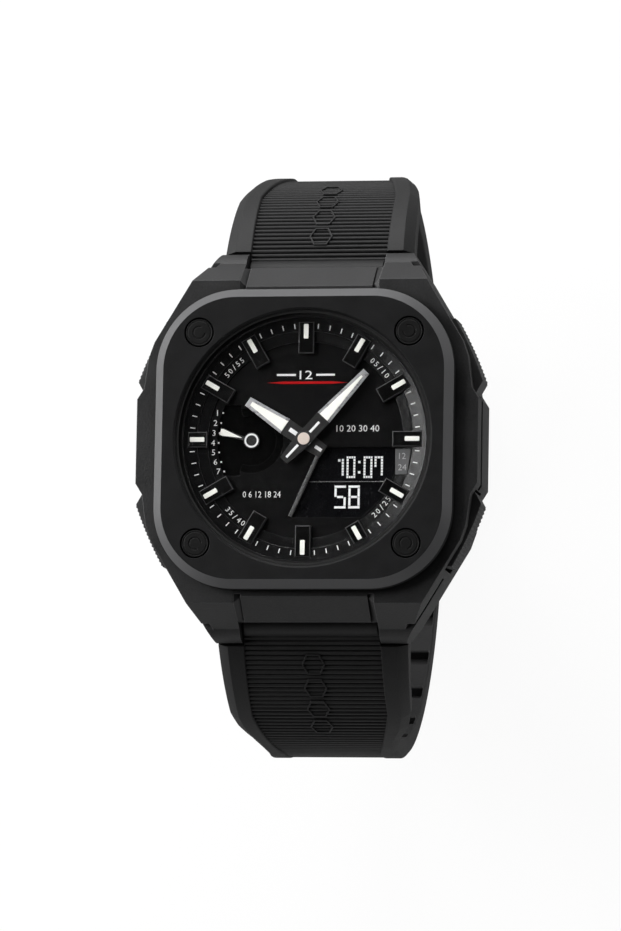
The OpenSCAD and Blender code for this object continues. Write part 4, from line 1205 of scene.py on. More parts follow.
@dataclass
class Fittings:
    """Bolt heads on the bezel, facets at the lugs and the knurled faces of the pushers.

    Attributes:
        bolt_xy: distance of a bolt from both centre lines.
        bolt_top: height of a bolt's face.
        bolt_r: radius of its head.
        bolt_head: height of its head.
        bolt_cuts: chamfers at the head's lower and upper edge.
        bolt_foot: height of the shank's end.
        bolt_shank: radius of the shank, and of the fine closed bore on its axis.
        bolt_ring: inner radius, outer radius, slope and depth of the ring turned into its face.
        notch: outer radius, inner radius and depth of the open ring that is cut into the face.
        notch_open: half the angle over which that ring is open.
        turns: clock angle of that opening, for +X +Y, +X -Y, -X -Y and -X +Y.
        tilt: angle of a pusher's axis from the X axis.
        offset: sideways offset of that axis from the dial axis.
        reach: distance of a pusher's outer face from the dial axis.
        middle: height of a pusher's axis.
        face: half length and half height of that face.
        pitch: distance between two points of the knurl.
        crown: how far the face stands out in its middle.
        spike: height of a point of the knurl.
        sunk: how deep the edge and the foot of the knurled pad lie in the pusher.
        block: upper corners of the (y, z) outline of the sloping block between two lugs.
        lug: the same corners at the lug beside it.
        below: lower corners of both outlines.
        facet_x: where the facet between block and lug starts and ends.
        spring: distances from the dial axis between which a pusher's spring lies.
        travel: how far a pusher goes in.
    """

    bolt_xy: float = 15.45
    bolt_top: float = 15.45
    bolt_r: float = 2.0
    bolt_head: float = 1.4
    bolt_cuts: Pair = (0.08, 0.12)
    bolt_foot: float = 8.4
    bolt_shank: Pair = (0.9, 0.02)
    bolt_ring: Quad = (1.6, 1.86, 0.06, 0.07)
    notch: Triple = (1.0, 0.76, 0.1)
    notch_open: float = 35.0
    turns: Quad = (300.0, 200.0, 120.0, 60.0)
    tilt: float = 24.5
    offset: float = 2.67
    reach: float = 26.93
    middle: float = 7.0
    face: Pair = (5.0, 2.36)
    pitch: float = 0.62
    crown: float = 0.22
    spike: float = 0.2
    sunk: Pair = (0.02, 0.3)
    block: tuple[Pair, ...] = ((22.0, 11.1), (22.76, 11.1), (26.06, 7.3))
    lug: tuple[Pair, ...] = ((22.0, 11.69), (23.7, 11.69), (26.06, 7.93))
    below: tuple[Pair, ...] = ((26.06, 6.2), (25.5, 6.2), (24.5, 6.5), (22.0, 7.2))
    facet_x: Pair = (9.3, 10.32)
    spring: Pair = (21.43, 24.63)
    travel: float = 0.8

    def bolts(self) -> tuple[Surface, Surface]:
        """Turned bolts with a shallow ring, and the open rings that are cut into their faces.

        Returns:
            The bolts and what is cut out of them.
        """
        top, r, foot, under = self.bolt_top, self.bolt_r, self.bolt_foot, self.bolt_top - self.bolt_head
        low_cut, cut = self.bolt_cuts
        shank, bore = self.bolt_shank
        inner, outer, slope, deep = self.bolt_ring
        profile = [(bore, foot), (shank, foot), (shank, under), (r - low_cut, under), (r, under + low_cut)]
        profile += [(r, top - cut), (r - cut, top), (outer, top), (outer - slope, top - deep)]
        profile += [(inner + slope, top - deep), (inner, top), (bore, top)]
        notch_out, notch_in, notch_deep = self.notch
        there = np.radians(np.linspace(self.notch_open, 360 - self.notch_open, 40))
        a, radius = np.concatenate([there, there[::-1]]), np.repeat([notch_out, notch_in], 40)
        outline = np.stack([radius * np.sin(a), radius * np.cos(a)], -1)[None]
        notch = plates(outline, top - notch_deep, top + notch_deep)
        bolts, notches = [], []
        for (x, y), turn in zip(((1, 1), (1, -1), (-1, -1), (-1, 1)), self.turns):
            at = (x * self.bolt_xy, y * self.bolt_xy, 0)
            bolts.append(lathe(profile, 72).moved(by=at))
            notches.append(notch.moved(clockwise(turn), at))
        return joined(bolts), joined(notches)

    def knurl(self) -> Surface:
        """Field of four sided points over a crowned pad, in the pusher's own frame with X out.

        The pad's height is crown (1 - (y / half length)^2), and each cell's middle is a spike
        higher than its corners.

        Returns:
            The closed pad.
        """
        long, high = self.face
        edge, foot = self.sunk
        n, m = round(2 * long / self.pitch), round(2 * high / self.pitch)
        y, z = np.meshgrid(np.linspace(-long, long, n + 1), np.linspace(-high, high, m + 1), indexing="ij")
        corners = np.stack([self.crown * (1 - (y / long) ** 2) - edge, y, z], -1)
        middles = (corners[1:, 1:] + corners[:-1, :-1]) / 2 + (self.spike, 0, 0)
        number = np.arange((n + 1) * (m + 1)).reshape(n + 1, m + 1)
        tip = (n + 1) * (m + 1) + np.arange(n * m).reshape(n, m)
        cell = [number[:-1, :-1], number[1:, :-1], number[1:, 1:], number[:-1, 1:]]
        spikes = [np.stack([a, b, tip], -1).reshape(-1, 3) for a, b in zip(cell, cell[1:] + cell[:1])]
        rim = np.concatenate([number[:-1, 0], number[-1, :-1], number[:0:-1, -1], number[0, :0:-1]])
        flat = corners.reshape(-1, 3)
        low = flat[rim] * (0, 1, 1) - (foot, 0, 0)
        under = tip.size + tip.min() + np.arange(len(rim))
        wall = np.stack([np.roll(rim, -1), rim, under, np.roll(under, -1)], -1)
        points = np.vstack([flat, middles.reshape(-1, 3), low])
        return Surface(points, spikes + [wall, under[None, ::-1]]).outwards()

    def facets(self) -> Surface:
        """Sloping faces that lead from each block's ends up to the lugs.

        Returns:
            One closed shape for each of the four corners.
        """
        outlines = (self.block + self.below, self.lug + self.below)
        rings = [np.column_stack([np.full(len(yz), x), yz]) for x, yz in zip(self.facet_x, outlines)]
        shape = skin(np.stack(rings))
        corners = [(x, y, 1) for x in (-1, 1) for y in (-1, 1)]
        return joined([Surface(shape.points * corner, shape.faces).outwards() for corner in corners])

    def build(self, nodes: dict[str, bpy.types.Object]) -> None:
        """Makes the bolts, facets and one knurled face for each pusher, and gives each spring its own mesh.

        Args:
            nodes: the frame's nodes by name.
        """
        heads = Piece("bezel_bolt_heads").add(carved(*self.bolts()), BOLT)
        heads.build("case", "bolt_black", ("bezel_bolts",))
        Piece("lug_facets").add(self.facets(), RESIN_CASE).build("case", "resin_case")
        c, s = math.cos(math.radians(self.tilt)), math.sin(math.radians(self.tilt))
        turn = np.array([[c, -s, 0], [s, c, 0], [0, 0, 1.0]])
        pad = self.knurl().moved(by=(self.reach, self.offset, 0)).moved(turn, (0, 0, self.middle))
        for hour, (x, y) in zip(PUSHER_HOURS, ((1, 1), (1, -1), (-1, -1), (-1, 1))):
            placed = Surface(pad.points * (x, y, 1), pad.faces).outwards()
            knurl = Piece(f"pusher_{hour}_knurl").add(placed, PUSHER)
            knurl.build(f"pusher_{hour}", "pusher_black", smooth=5.0)
            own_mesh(nodes[f"pusher_{hour}_spring"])


@dataclass
class HandDress:
    """Black stem, white dashes and lume on one hand.

    Attributes:
        name: name of the hand.
        angle: clock angle at rest.
        face: height of the hand's face.
        stem: (y, half width) stations of the black part.
        lume: (y, half width) stations of the lume.
        dashes: white dashes as y from, y to and width.
        stem_z: underside and top of the black part, from the hand's face.
        lume_z: underside and top of the lume, from the hand's face.
        dash_h: height of the dashes.
        rounding: width of the rounding on the lume's edges.
    """

    name: str
    angle: float
    face: float
    stem: tuple[Pair, ...]
    lume: tuple[Pair, ...]
    dashes: tuple[Triple, ...]
    stem_z: Pair = (-0.21, 0.03)
    lume_z: Pair = (-0.05, 0.08)
    dash_h: float = 0.05
    rounding: float = 0.02

    def build(self) -> None:
        """Makes the hand's pieces, which ride with it."""
        turn = clockwise(self.angle)
        stem = plates(wedge(self.stem), *(self.face + z for z in self.stem_z)).moved(turn)
        lume = plates(wedge(self.lume), *(self.face + z for z in self.lume_z)).moved(turn)
        rows = bars([(-w / 2, y0, w / 2, y1) for y0, y1, w in self.dashes])
        dashes = plates(rows, self.face, self.face + self.dash_h).moved(turn)
        Piece(f"{self.name}_stem").add(stem, HAND_BLACK).build(self.name, "hand_silver")
        piece = Piece(f"{self.name}_lume").add(lume, LUME).add(dashes, INK)
        piece.build(self.name, "lume", bevel=self.rounding)


# Strap
def between(table: tuple[Pair, ...], a: np.ndarray) -> np.ndarray:
    """Values at the directions a, straight between the rows of a (direction, value) table."""
    at, value = np.array(table, float).T
    return np.interp(a, at, value)


@dataclass
class StrapShape:
    """The strap's run: an arc beside the case, one down the side and one under the wrist.

    Directions are in degrees from straight up, 90 outwards and 180 down. The shapes are worked
    out for the upper half, on +Y, and mirrored for the lower one. A table lists (direction,
    value) rows.

    Attributes:
        upper_c: (y, z) centre of the outer arc beside the case.
        upper_r: its radius.
        inner_c: y of the centre of the inner arc beside the case, level with the outer one's.
        inner_r: its radius.
        side_c: centre of the arc down the side.
        side_r: its outer radius.
        side_to: direction at which it ends.
        under_c: centre of the arc under the wrist.
        under_r: its outer radius.
        thickness: thickness past 90 degrees.
        widths: table of the half width.
        spans: start, end and step of the cross sections' directions, down to the lowest arc.
        under_step: their step on the lowest arc.
        starts: directions at which the strap starts outside and inside, first over the field and
            then over the shoulders, because the lugs stand before those.
        field_half: half width of the ribbed field.
        field_in: by how much that narrows.
        field_from: direction at which it starts to narrow.
        narrow_to: direction at which it ends to narrow.
        field_to: direction at which the field ends.
        field_end: angle over which it fades out there.
        field_wall: half the width of the steep step beside the field.
        field_lip: width and height of the rounding over that step.
        field_floor: depth of the field's floor between ribs.
        rib_from: direction of the first rib.
        rib_pitch: distance between two ribs.
        rib_r: radius of a rib's back.
        rib_drop: depth of the ribs' tops under the shoulders.
        rib_fade: table of the ribs' height as a share.
        rise: how far the shoulders stand out.
        rise_along: table of that rise as a share.
        chamfer_w: table of the width of the shoulders' chamfer.
        chamfer_d: table of its depth.
        chamfer_most: its greatest depth in mm, and as a share of the thickness.
        rim: width of the outer edge's rounding, its start as a share of the chamfer's depth, and
            its depth below the chamfer.
        inner_edge: distance from the edge and rise of the points of the inner edge's rounding.
        pocket: half length, slope and depth of an inner pocket.
        pocket_r: radius at which its length is measured.
        pocket_half: table of its half width.
        pocket_wall: width of its end walls.
        bar: (y, z) of the spring bar.
        knuckle_half: half length of the knuckle round it.
        knuckle_r: bore, radius and chamfer of the knuckle.
        mark_size: size of a raised mark across and along the strap.
        mark_flat: half length of its sides along the strap's width, as a share of that size.
        mark_wall: share of the smaller size that its inner outline stands back by.
        mark_ridge: share of the way out and depth at the points of its ridge.
    """

    upper_c: Pair = (19.3, -18.7)
    upper_r: float = 24.4
    inner_c: float = 21.195
    inner_r: float = 19.705
    side_c: Pair = (7.7, -18.7)
    side_r: float = 36.0
    side_to: float = 116.5
    under_c: Pair = (0.0, -14.870)
    under_r: float = 44.6
    thickness: float = 2.8
    widths: tuple[Pair, ...] = ((24, 14.1), (54, 13.5), (61, 12.8), (70, 11.2), (82, 9.9), (180, 9.8))
    spans: tuple[Triple, ...] = ((15.0, 95.0, 0.183), (95.0, 116.2, 0.4))
    under_step: float = 0.35
    starts: tuple[Pair, Pair] = ((15.0, 18.2), (24.0, 21.5))
    field_half: float = 10.1
    field_in: float = 2.9
    field_from: float = 53.0
    narrow_to: float = 83.0
    field_to: float = 99.0
    field_end: float = 4.0
    field_wall: float = 0.02
    field_lip: Pair = (0.16, 0.14)
    field_floor: float = 0.72
    rib_from: float = 21.3
    rib_pitch: float = 0.78
    rib_r: float = 0.36
    rib_drop: float = 0.3
    rib_fade: tuple[Pair, ...] = ((62, 1.0), (94, 0.0))
    rise: float = 0.0
    rise_along: tuple[Pair, ...] = ((34, 0.0), (54, 1.0), (90, 1.0), (104, 0.0))
    chamfer_w: tuple[Pair, ...] = ((24, 1.55), (70, 1.3), (86, 0.45))
    chamfer_d: tuple[Pair, ...] = ((70, 1.0), (90, 0.45))
    chamfer_most: Pair = (0.95, 0.3)
    rim: Triple = (0.12, 0.9, 0.06)
    inner_edge: tuple[Pair, ...] = ((0.28, 0.0), (0.2, 0.02), (0.08, 0.12), (0.0, 0.4))
    pocket: Triple = (1.35, 0.25, 1.5)
    pocket_r: float = 41.0
    pocket_half: tuple[Pair, ...] = ((80, 8.8), (96, 9.35))
    pocket_wall: float = 0.12
    bar: Pair = (25.6, 3.6)
    knuckle_half: float = 10.1
    knuckle_r: Triple = (0.95, 2.2, 0.25)
    mark_size: Pair = (3.5, 3.3)
    mark_flat: float = 0.28
    mark_wall: float = 0.75
    mark_ridge: tuple[Pair, ...] = (
        (1.0, 0.75), (1.0, 0.17), (0.97, 0.12), (0.83, 0.12), (0.8, 0.17), (0.8, 0.75),
    )

    def field(self, a: np.ndarray) -> np.ndarray:
        """Half width of the ribbed field, drawn in evenly with height as the strap turns down.

        Args:
            a: directions.

        Returns:
            The half width at each.
        """
        z = np.cos(np.radians(np.minimum(a, self.narrow_to)))
        z0, z1 = np.cos(np.radians([self.field_from, self.narrow_to]))
        return self.field_half - self.field_in * np.clip((z0 - z) / (z0 - z1), 0, 1)

    def fading(self, a: np.ndarray) -> np.ndarray:
        """1 over the ribbed field, falling evenly to 0 at its end."""
        return np.clip((self.field_to - a) / self.field_end, 0, 1)

    def point(self, a: np.ndarray, depth: np.ndarray) -> np.ndarray:
        """Place in the strap's long section.

        Beside the case the inner arc has its own centre, so the ray from the outer arc's centre
        meets it at t = s sin a + sqrt(r^2 - s^2 cos^2 a), where s is the shift of the centre.

        Args:
            a: directions.
            depth: share of the thickness, 0 outside and 1 inside.

        Returns:
            (y, z) at each direction.
        """
        rad = np.radians(a)
        ray = np.stack([np.sin(rad), np.cos(rad)], -1)
        shift = self.inner_c - self.upper_c[0]
        near = shift * np.sin(rad) + np.sqrt(self.inner_r**2 - (shift * np.cos(rad)) ** 2)
        upper, side, under = a < 90, (a >= 90) & (a < self.side_to), a >= self.side_to
        centre = (
            upper[..., None] * np.array(self.upper_c)
            + side[..., None] * np.array(self.side_c)
            + under[..., None] * np.array(self.under_c)
        )
        outer = upper * self.upper_r + side * self.side_r + under * self.under_r
        inner = np.where(upper, near, outer - self.thickness)
        return centre + ray * (outer + (inner - outer) * depth)[..., None]

    def thick(self, a: np.ndarray) -> np.ndarray:
        """Thickness at each direction."""
        outer, inner = self.point(a, 0.0 * a), self.point(a, 0.0 * a + 1)
        return np.linalg.norm(outer - inner, axis=-1)

    def ribs(self, a: np.ndarray) -> np.ndarray:
        """Depth below the outer face across the ribs: half rounds a pitch apart over a flat floor.

        Args:
            a: directions.

        Returns:
            The depth at each.
        """
        along = np.radians(a - self.rib_from) * (self.upper_r - self.rib_drop)
        off = along - self.rib_pitch * np.round(along / self.rib_pitch)
        bow = self.rib_drop + self.rib_r - np.sqrt(np.maximum(self.rib_r**2 - off**2, 0))
        depth = np.where(along < -0.5 * self.rib_pitch, self.rib_drop, np.minimum(bow, self.field_floor))
        return (self.rib_drop + (depth - self.rib_drop) * between(self.rib_fade, a)) * self.fading(a)

    def place(self, x: np.ndarray, along: np.ndarray, depth: np.ndarray, mirror: bool) -> np.ndarray:
        """Points at x, a direction and a depth in mm, on the lower half if mirrored."""
        yz = self.point(along, depth / self.thick(along))
        return np.stack([x + 0 * along, yz[..., 0] * (-1 if mirror else 1), yz[..., 1]], -1)

    def knuckle(self, mirror: bool) -> Surface:
        """Rounded tube round the spring bar, on the lower half if mirrored."""
        y, z = self.bar
        return tube((-self.knuckle_half, self.knuckle_half), *self.knuckle_r, (-y if mirror else y, z), 48)

    def mark(self, at: float, mirror: bool) -> Surface:
        """Raised six sided outline on the ribs: a rounded ridge carried round a closed path.

        Args:
            at: direction of its middle.
            mirror: whether it is on the lower half.

        Returns:
            The closed ridge.
        """
        flat = self.mark_flat
        corners = np.array([[-0.5, 0.0], [-flat, 0.5], [flat, 0.5], [0.5, 0.0], [flat, -0.5], [-flat, -0.5]])
        sides = zip(corners, np.roll(corners, -1, 0))
        path = np.concatenate([np.linspace(p, q, 8, endpoint=False) for p, q in sides])
        ridge, size = np.array(self.mark_ridge), np.array(self.mark_size)
        xy = path[:, None] * (size - (1 - ridge[:, :1]) * size.min() * self.mark_wall)
        direction = at + np.degrees(xy[..., 1] / self.upper_r)
        return skin(self.place(xy[..., 0], direction, 0 * direction + ridge[:, 1], mirror), around=True)

    def section(self, run: np.ndarray, pockets: tuple[float, ...]) -> tuple[np.ndarray, np.ndarray]:
        """Cross sections as closed rings of columns: half of each is listed and the rest mirrored.

        Outside, the ribbed field lies below the shoulders, whose outer edges are chamfered.
        Inside, shallow pockets cross the strap, each open by its half length less the distance
        from its middle, over its slope.

        Args:
            run: (rows, 1) directions.
            pockets: directions of the inner pockets' middles.

        Returns:
            Distance from the middle line and depth under the outer face, both (rows, columns).
        """
        half, field_x, thick = between(self.widths, run), self.field(run), self.thick(run)
        most, share = self.chamfer_most
        drop = np.minimum(np.minimum(most, share * thick), between(self.chamfer_d, run))
        ribs, zero = self.ribs(run), 0 * run
        top = -self.rise * between(self.rise_along, run)
        wall, (lip, lip_d), (rim, rim_share, rim_d) = self.field_wall, self.field_lip, self.rim
        outside = [
            (zero, ribs), (0.5 * field_x, ribs), (field_x - wall, ribs),
            (field_x + wall, self.fading(run) * lip_d + top), (field_x + lip, top),
            (half - between(self.chamfer_w, run), top), (half - rim, rim_share * drop), (half, drop + rim_d),
        ]
        long, slope, deep = self.pocket
        away = [np.radians(np.abs(run - a)) * self.pocket_r for a in pockets]
        floor = thick - deep * sum((np.clip((long - off) / slope, 0, 1) for off in away), zero)
        reach = between(self.pocket_half, run)
        inside = [(zero, floor), (0.5 * reach, floor), (reach, floor), (reach + self.pocket_wall, thick)]
        inside += [(half - off, thick - rise) for off, rise in self.inner_edge]
        ring = [(-x, d) for x, d in outside[:0:-1]] + outside
        ring += inside[::-1] + [(-x, d) for x, d in inside[1:]]
        return np.concatenate([x for x, _ in ring], 1), np.concatenate([d for _, d in ring], 1)

    def band(self, to: float, mirror: bool, pockets: tuple[float, ...] = ()) -> Surface:
        """One half's body: its cross section carried along the run, each column from its own start.

        Args:
            to: direction of the end on the lowest arc.
            mirror: whether it is the lower half.
            pockets: directions of the inner pockets' middles.

        Returns:
            The closed surface.
        """
        spans = [np.arange(*span) for span in self.spans]
        run = np.concatenate(spans + [np.arange(self.side_to, to, self.under_step), [to]])[:, None]
        x, depth = self.section(run, pockets)
        column = np.arange(x.shape[1])
        inner, shoulder = column >= x.shape[1] // 2, np.abs(x[0]) > self.field_half
        start = np.array(self.starts)[shoulder.astype(int), inner.astype(int)]
        row = np.maximum(np.arange(len(run))[:, None], np.searchsorted(run[:, 0], start))
        return skin(self.place(x[row, column], run[row, 0], depth[row, column], mirror), flat_ends=False)

    def under(self, x: Numbers, a: Numbers, r: Numbers) -> np.ndarray:
        """Points under the wrist.

        Args:
            x: distance from the middle line.
            a: angle from straight down, towards +Y.
            r: distance from the lowest arc's centre.

        Returns:
            Points with three coordinates.
        """
        rad = np.radians(a)
        y, z = self.under_c
        return np.stack([x + 0 * rad, y + r * np.sin(rad), z - r * np.cos(rad)], -1)


@dataclass
class Strap:
    """Both halves of the strap, its tail and its two keepers.

    Angles are taken from straight down, towards the upper half; directions are StrapShape's.

    Attributes:
        shape: run and cross section of the lower half, and the run of what lies on it.
        upper: the same for the upper half, whose shoulders are wider and stand out.
        upper_to: direction at which the upper half ends.
        pockets: directions of the pockets inside the lower half.
        marks: directions of the raised marks on each half.
        pin_at: angle of the buckle's pin.
        pin_x: where each length of the knuckle round the pin starts and ends, from the middle.
        pin_r: bore, radius and chamfer of that knuckle.
        ramp_from: angle at which the lower half ends and the tail starts to climb.
        ramp_to: angle at which the tail lies on the upper half.
        tail_to: angle of the tail's end.
        tail_step: step between its cross sections.
        tail_half: its half width.
        tail_cut: length of the cut corners at its end.
        tail_outer: distance from the edge and depth of the points of its outer side.
        tail_inner: distance from the edge and rise of the points of its inner side.
        layer_r: outer radius of the tail on the upper half.
        slot_at: angle of the tongue's slot.
        slot_step: angle between two slots.
        slot_size: width, length and corner radius of a slot.
        slot_r: radius at which a slot has that length.
        slot_depth: radii between which the slots are cut.
        rim_ridge: distance out from the slot and height of the points of its rim.
        keeper_half: half width inside a keeper.
        keeper_wall: its wall.
        keeper_gap: its clearance over the tail.
        keeper_arc: angle that it covers.
        keeper_corner: radius inside its corners, and by how much the outer one is larger.
        fixed_keeper: start of the fixed keeper and radius of its inner side.
        free_keeper: the same for the free one.
    """

    shape: StrapShape = field(default_factory=StrapShape)
    upper: StrapShape = field(default_factory=lambda: StrapShape(
        widths=((24, 14.1), (54, 13.6), (62, 13.0), (72, 11.9), (80, 10.0), (86, 9.8), (180, 9.8)),
        rise=0.16,
    ))
    upper_to: float = 166.4
    pockets: tuple[float, ...] = (58.0, 76.0, 92.0, 106.0, 118.5, 130.4, 141.6, 152.4)
    marks: tuple[float, ...] = (31.0, 40.5, 50.0, 59.5)
    pin_at: float = 11.8
    pin_x: Pair = (1.35, 9.75)
    pin_r: Triple = (0.81, 1.5, 0.15)
    ramp_from: float = -12.16
    ramp_to: float = 6.0
    tail_to: float = 38.0
    tail_step: float = 0.35
    tail_half: float = 9.8
    tail_cut: float = 4.24
    tail_outer: tuple[Pair, ...] = ((5.2, 0.0), (0.45, 0.0), (0.12, 0.405), (0.0, 0.51))
    tail_inner: tuple[Pair, ...] = ((5.2, 0.0), (0.28, 0.0), (0.08, 0.12), (0.0, 0.4))
    layer_r: float = 47.7
    slot_at: float = 9.5
    slot_step: float = 8.66
    slot_size: Triple = (2.4, 6.0, 0.7)
    slot_r: float = 45.8
    slot_depth: Pair = (38.0, 50.5)
    rim_ridge: tuple[Pair, ...] = (
        (0.02, -0.4), (0.02, 0.02), (0.1, 0.1), (0.3, 0.1), (0.42, 0.02), (0.42, -0.4),
    )
    keeper_half: float = 10.1
    keeper_wall: float = 1.2
    keeper_gap: float = 0.25
    keeper_arc: float = 6.4
    keeper_corner: Pair = (0.06, 0.9)
    fixed_keeper: Pair = (17.0, 41.9)
    free_keeper: Pair = (28.0, 41.55)

    def slot_outline(self, off: float | np.ndarray = 0.0) -> tuple[np.ndarray, np.ndarray]:
        """A slot's outline, or a line outside it: four quarter circles about the corners' centres.

        Args:
            off: distance of the line from the outline.

        Returns:
            Distances across and along from the slot's middle.
        """
        wide, long, r = self.slot_size
        b = ((np.arange(32) + 0.5) * np.pi / 16)[:, None]
        x = np.sign(np.cos(b)) * (wide / 2 - r) + (r + off) * np.cos(b)
        return x, np.sign(np.sin(b)) * (long / 2 - r) + (r + off) * np.sin(b)

    def slots(self, first: int, last: int) -> Surface:
        """Openings with rounded corners across both layers, standing along the radius.

        Args:
            first: number of the first slot, 0 for the tongue's.
            last: number of the last one.

        Returns:
            What is cut out.
        """
        x, y = self.slot_outline()
        levels = np.array(self.slot_depth)[:, None]
        made = []
        for k in range(first, last + 1):
            a = self.slot_at + k * self.slot_step + np.degrees(y.T / self.slot_r) + 0 * levels
            made.append(skin(self.shape.under(x.T + 0 * levels, a, levels + 0 * a)))
        return joined(made)

    def rims(self, first: int, last: int) -> Surface:
        """Low rounded ridge round each slot, carried round the slot's outline.

        Args:
            first: number of the first slot.
            last: number of the last one.

        Returns:
            The ridges.
        """
        ridge = np.array(self.rim_ridge)
        x, y = self.slot_outline(ridge[:, 0])
        made = []
        for k in range(first, last + 1):
            a = self.slot_at + k * self.slot_step + np.degrees(y / self.layer_r)
            made.append(skin(self.shape.under(x, a, self.layer_r + ridge[:, 1] + 0 * a), around=True))
        return joined(made)

    def tail(self) -> Surface:
        """The free end, with the lower half's edges and cut corners at its end.

        It climbs from the first layer to the second by t^2 (3 - 2 t) and lies on the upper half.

        Returns:
            The closed surface.
        """
        low, thick = self.shape.under_r, self.shape.thickness
        a = np.append(np.arange(self.ramp_from, self.tail_to, self.tail_step), self.tail_to)[:, None]
        t = np.clip((a - self.ramp_from) / (self.ramp_to - self.ramp_from), 0, 1)
        outer = low + (self.layer_r - low) * t * t * (3 - 2 * t)
        left = np.radians(self.tail_to - a) * self.layer_r
        half = self.tail_half - np.clip(self.tail_cut - left, 0, self.tail_cut)
        outside = [(half - off, d) for off, d in self.tail_outer]
        inside = [(half - off, thick - rise) for off, rise in self.tail_inner]
        ring = [(-x, d) for x, d in outside[::-1]] + [(0 * a, 0.0)] + outside
        ring += inside[::-1] + [(0 * a, thick)] + [(-x, d) for x, d in inside]
        x, depth = np.concatenate([x for x, _ in ring], 1), np.array([d for _, d in ring])
        return skin(self.shape.under(x, a + 0 * x, outer - depth), flat_ends=False)

    def keeper(self, start: float, low: float) -> Surface:
        """Loop round both layers: a flat band with rounded edges carried round a rounded oblong.

        The band's profile is given in shares of its arc and its wall, and each corner of the
        oblong is a quarter circle about its own centre.

        Args:
            start: angle of its first edge.
            low: radius of its inner side under the inner layer.

        Returns:
            The closed loop.
        """
        high = self.layer_r + self.keeper_gap
        corner_r, corner_more = self.keeper_corner
        profile = np.array([
            (0.0, 0.1), (0.0, 0.85), (0.05, 1.0), (0.95, 1.0),
            (1.0, 0.85), (1.0, 0.1), (0.95, 0.0), (0.05, 0.0),
        ])
        b = np.linspace(0, np.pi / 2, 7)
        corner = np.stack([np.cos(b), np.sin(b)], -1)
        signs = np.array([(1, 1), (-1, 1), (-1, -1), (1, -1)])
        quarters = [corner * s if i % 2 == 0 else corner[::-1] * s for i, s in enumerate(signs)]
        outlines = []
        for share in (0.0, 1.0):
            r = corner_r + share * corner_more
            inner = np.array([self.keeper_half, (high - low) / 2]) + share * self.keeper_wall
            outlines.append(np.concatenate([q * r + s * (inner - r) for q, s in zip(quarters, signs)]))
        loop = outlines[0][:, None] + (outlines[1] - outlines[0])[:, None] * profile[:, 1:]
        a = start + self.keeper_arc * profile[:, 0] + 0 * loop[..., 0]
        return skin(self.shape.under(loop[..., 0], a, (high + low) / 2 + loop[..., 1]), around=True)

    def pin_knuckle(self) -> Surface:
        """Round end of the upper half, in two lengths beside the tongue's notch.

        Returns:
            Both lengths, in the middle of the strap's thickness.
        """
        middle = self.shape.under_r - self.shape.thickness / 2
        _, y, z = self.shape.under(0.0, self.pin_at, middle)
        near, far = self.pin_x
        return joined([tube(ends, *self.pin_r, (y, z), 40) for ends in ((near, far), (-far, -near))])

    def half(self, name: str, surfaces: list[Surface], mirror: bool) -> None:
        """Builds one half of the strap with its knuckle and its raised marks.

        Args:
            name: name of the half's body and CAD node.
            surfaces: its other surfaces.
            mirror: whether it is the lower half.
        """
        piece = Piece(f"{name}_half")
        marks = joined([self.shape.mark(at, mirror) for at in self.marks])
        for surface in (*surfaces, self.shape.knuckle(mirror), marks):
            piece.add(surface, RESIN_STRAP)
        piece.build(name, "resin_strap", (name,), smooth=24.0)

    def build(self) -> None:
        """Makes the strap's pieces."""
        upper = [self.upper.band(self.upper_to, False), self.pin_knuckle(), self.keeper(*self.fixed_keeper)]
        self.half("strap_upper", upper, False)
        lower = self.shape.band(180 + self.ramp_from, True, self.pockets)
        self.half("strap_lower", [carved(lower, self.slots(-6, -3))], True)
        tail = Piece("strap_tail_end").add(carved(self.tail(), self.slots(-2, 2)), RESIN_STRAP)
        tail.build("strap_lower", "resin_strap", ("strap_tail",))
        Piece("strap_slot_rims").add(self.rims(0, 2), RESIN_STRAP).build("strap_lower", "resin_strap")
        keeper = Piece("strap_free_keeper").add(self.keeper(*self.free_keeper), RESIN_STRAP)
        keeper.build("keeper", "resin_keeper", ("free_keeper",))


# Studio
def hang(obj: bpy.types.Object, place: Triple, axes: list[np.ndarray]) -> None:
    """Puts a camera or lamp into the scene.

    Args:
        obj: the camera or lamp.
        place: its place in mm.
        axes: its right, up and back directions.
    """
    pose = np.eye(4)
    pose[:3, :3], pose[:3, 3] = np.stack(axes, 1), np.array(place) * MM
    obj.matrix_world = Matrix(pose.tolist())
    bpy.context.scene.collection.objects.link(obj)


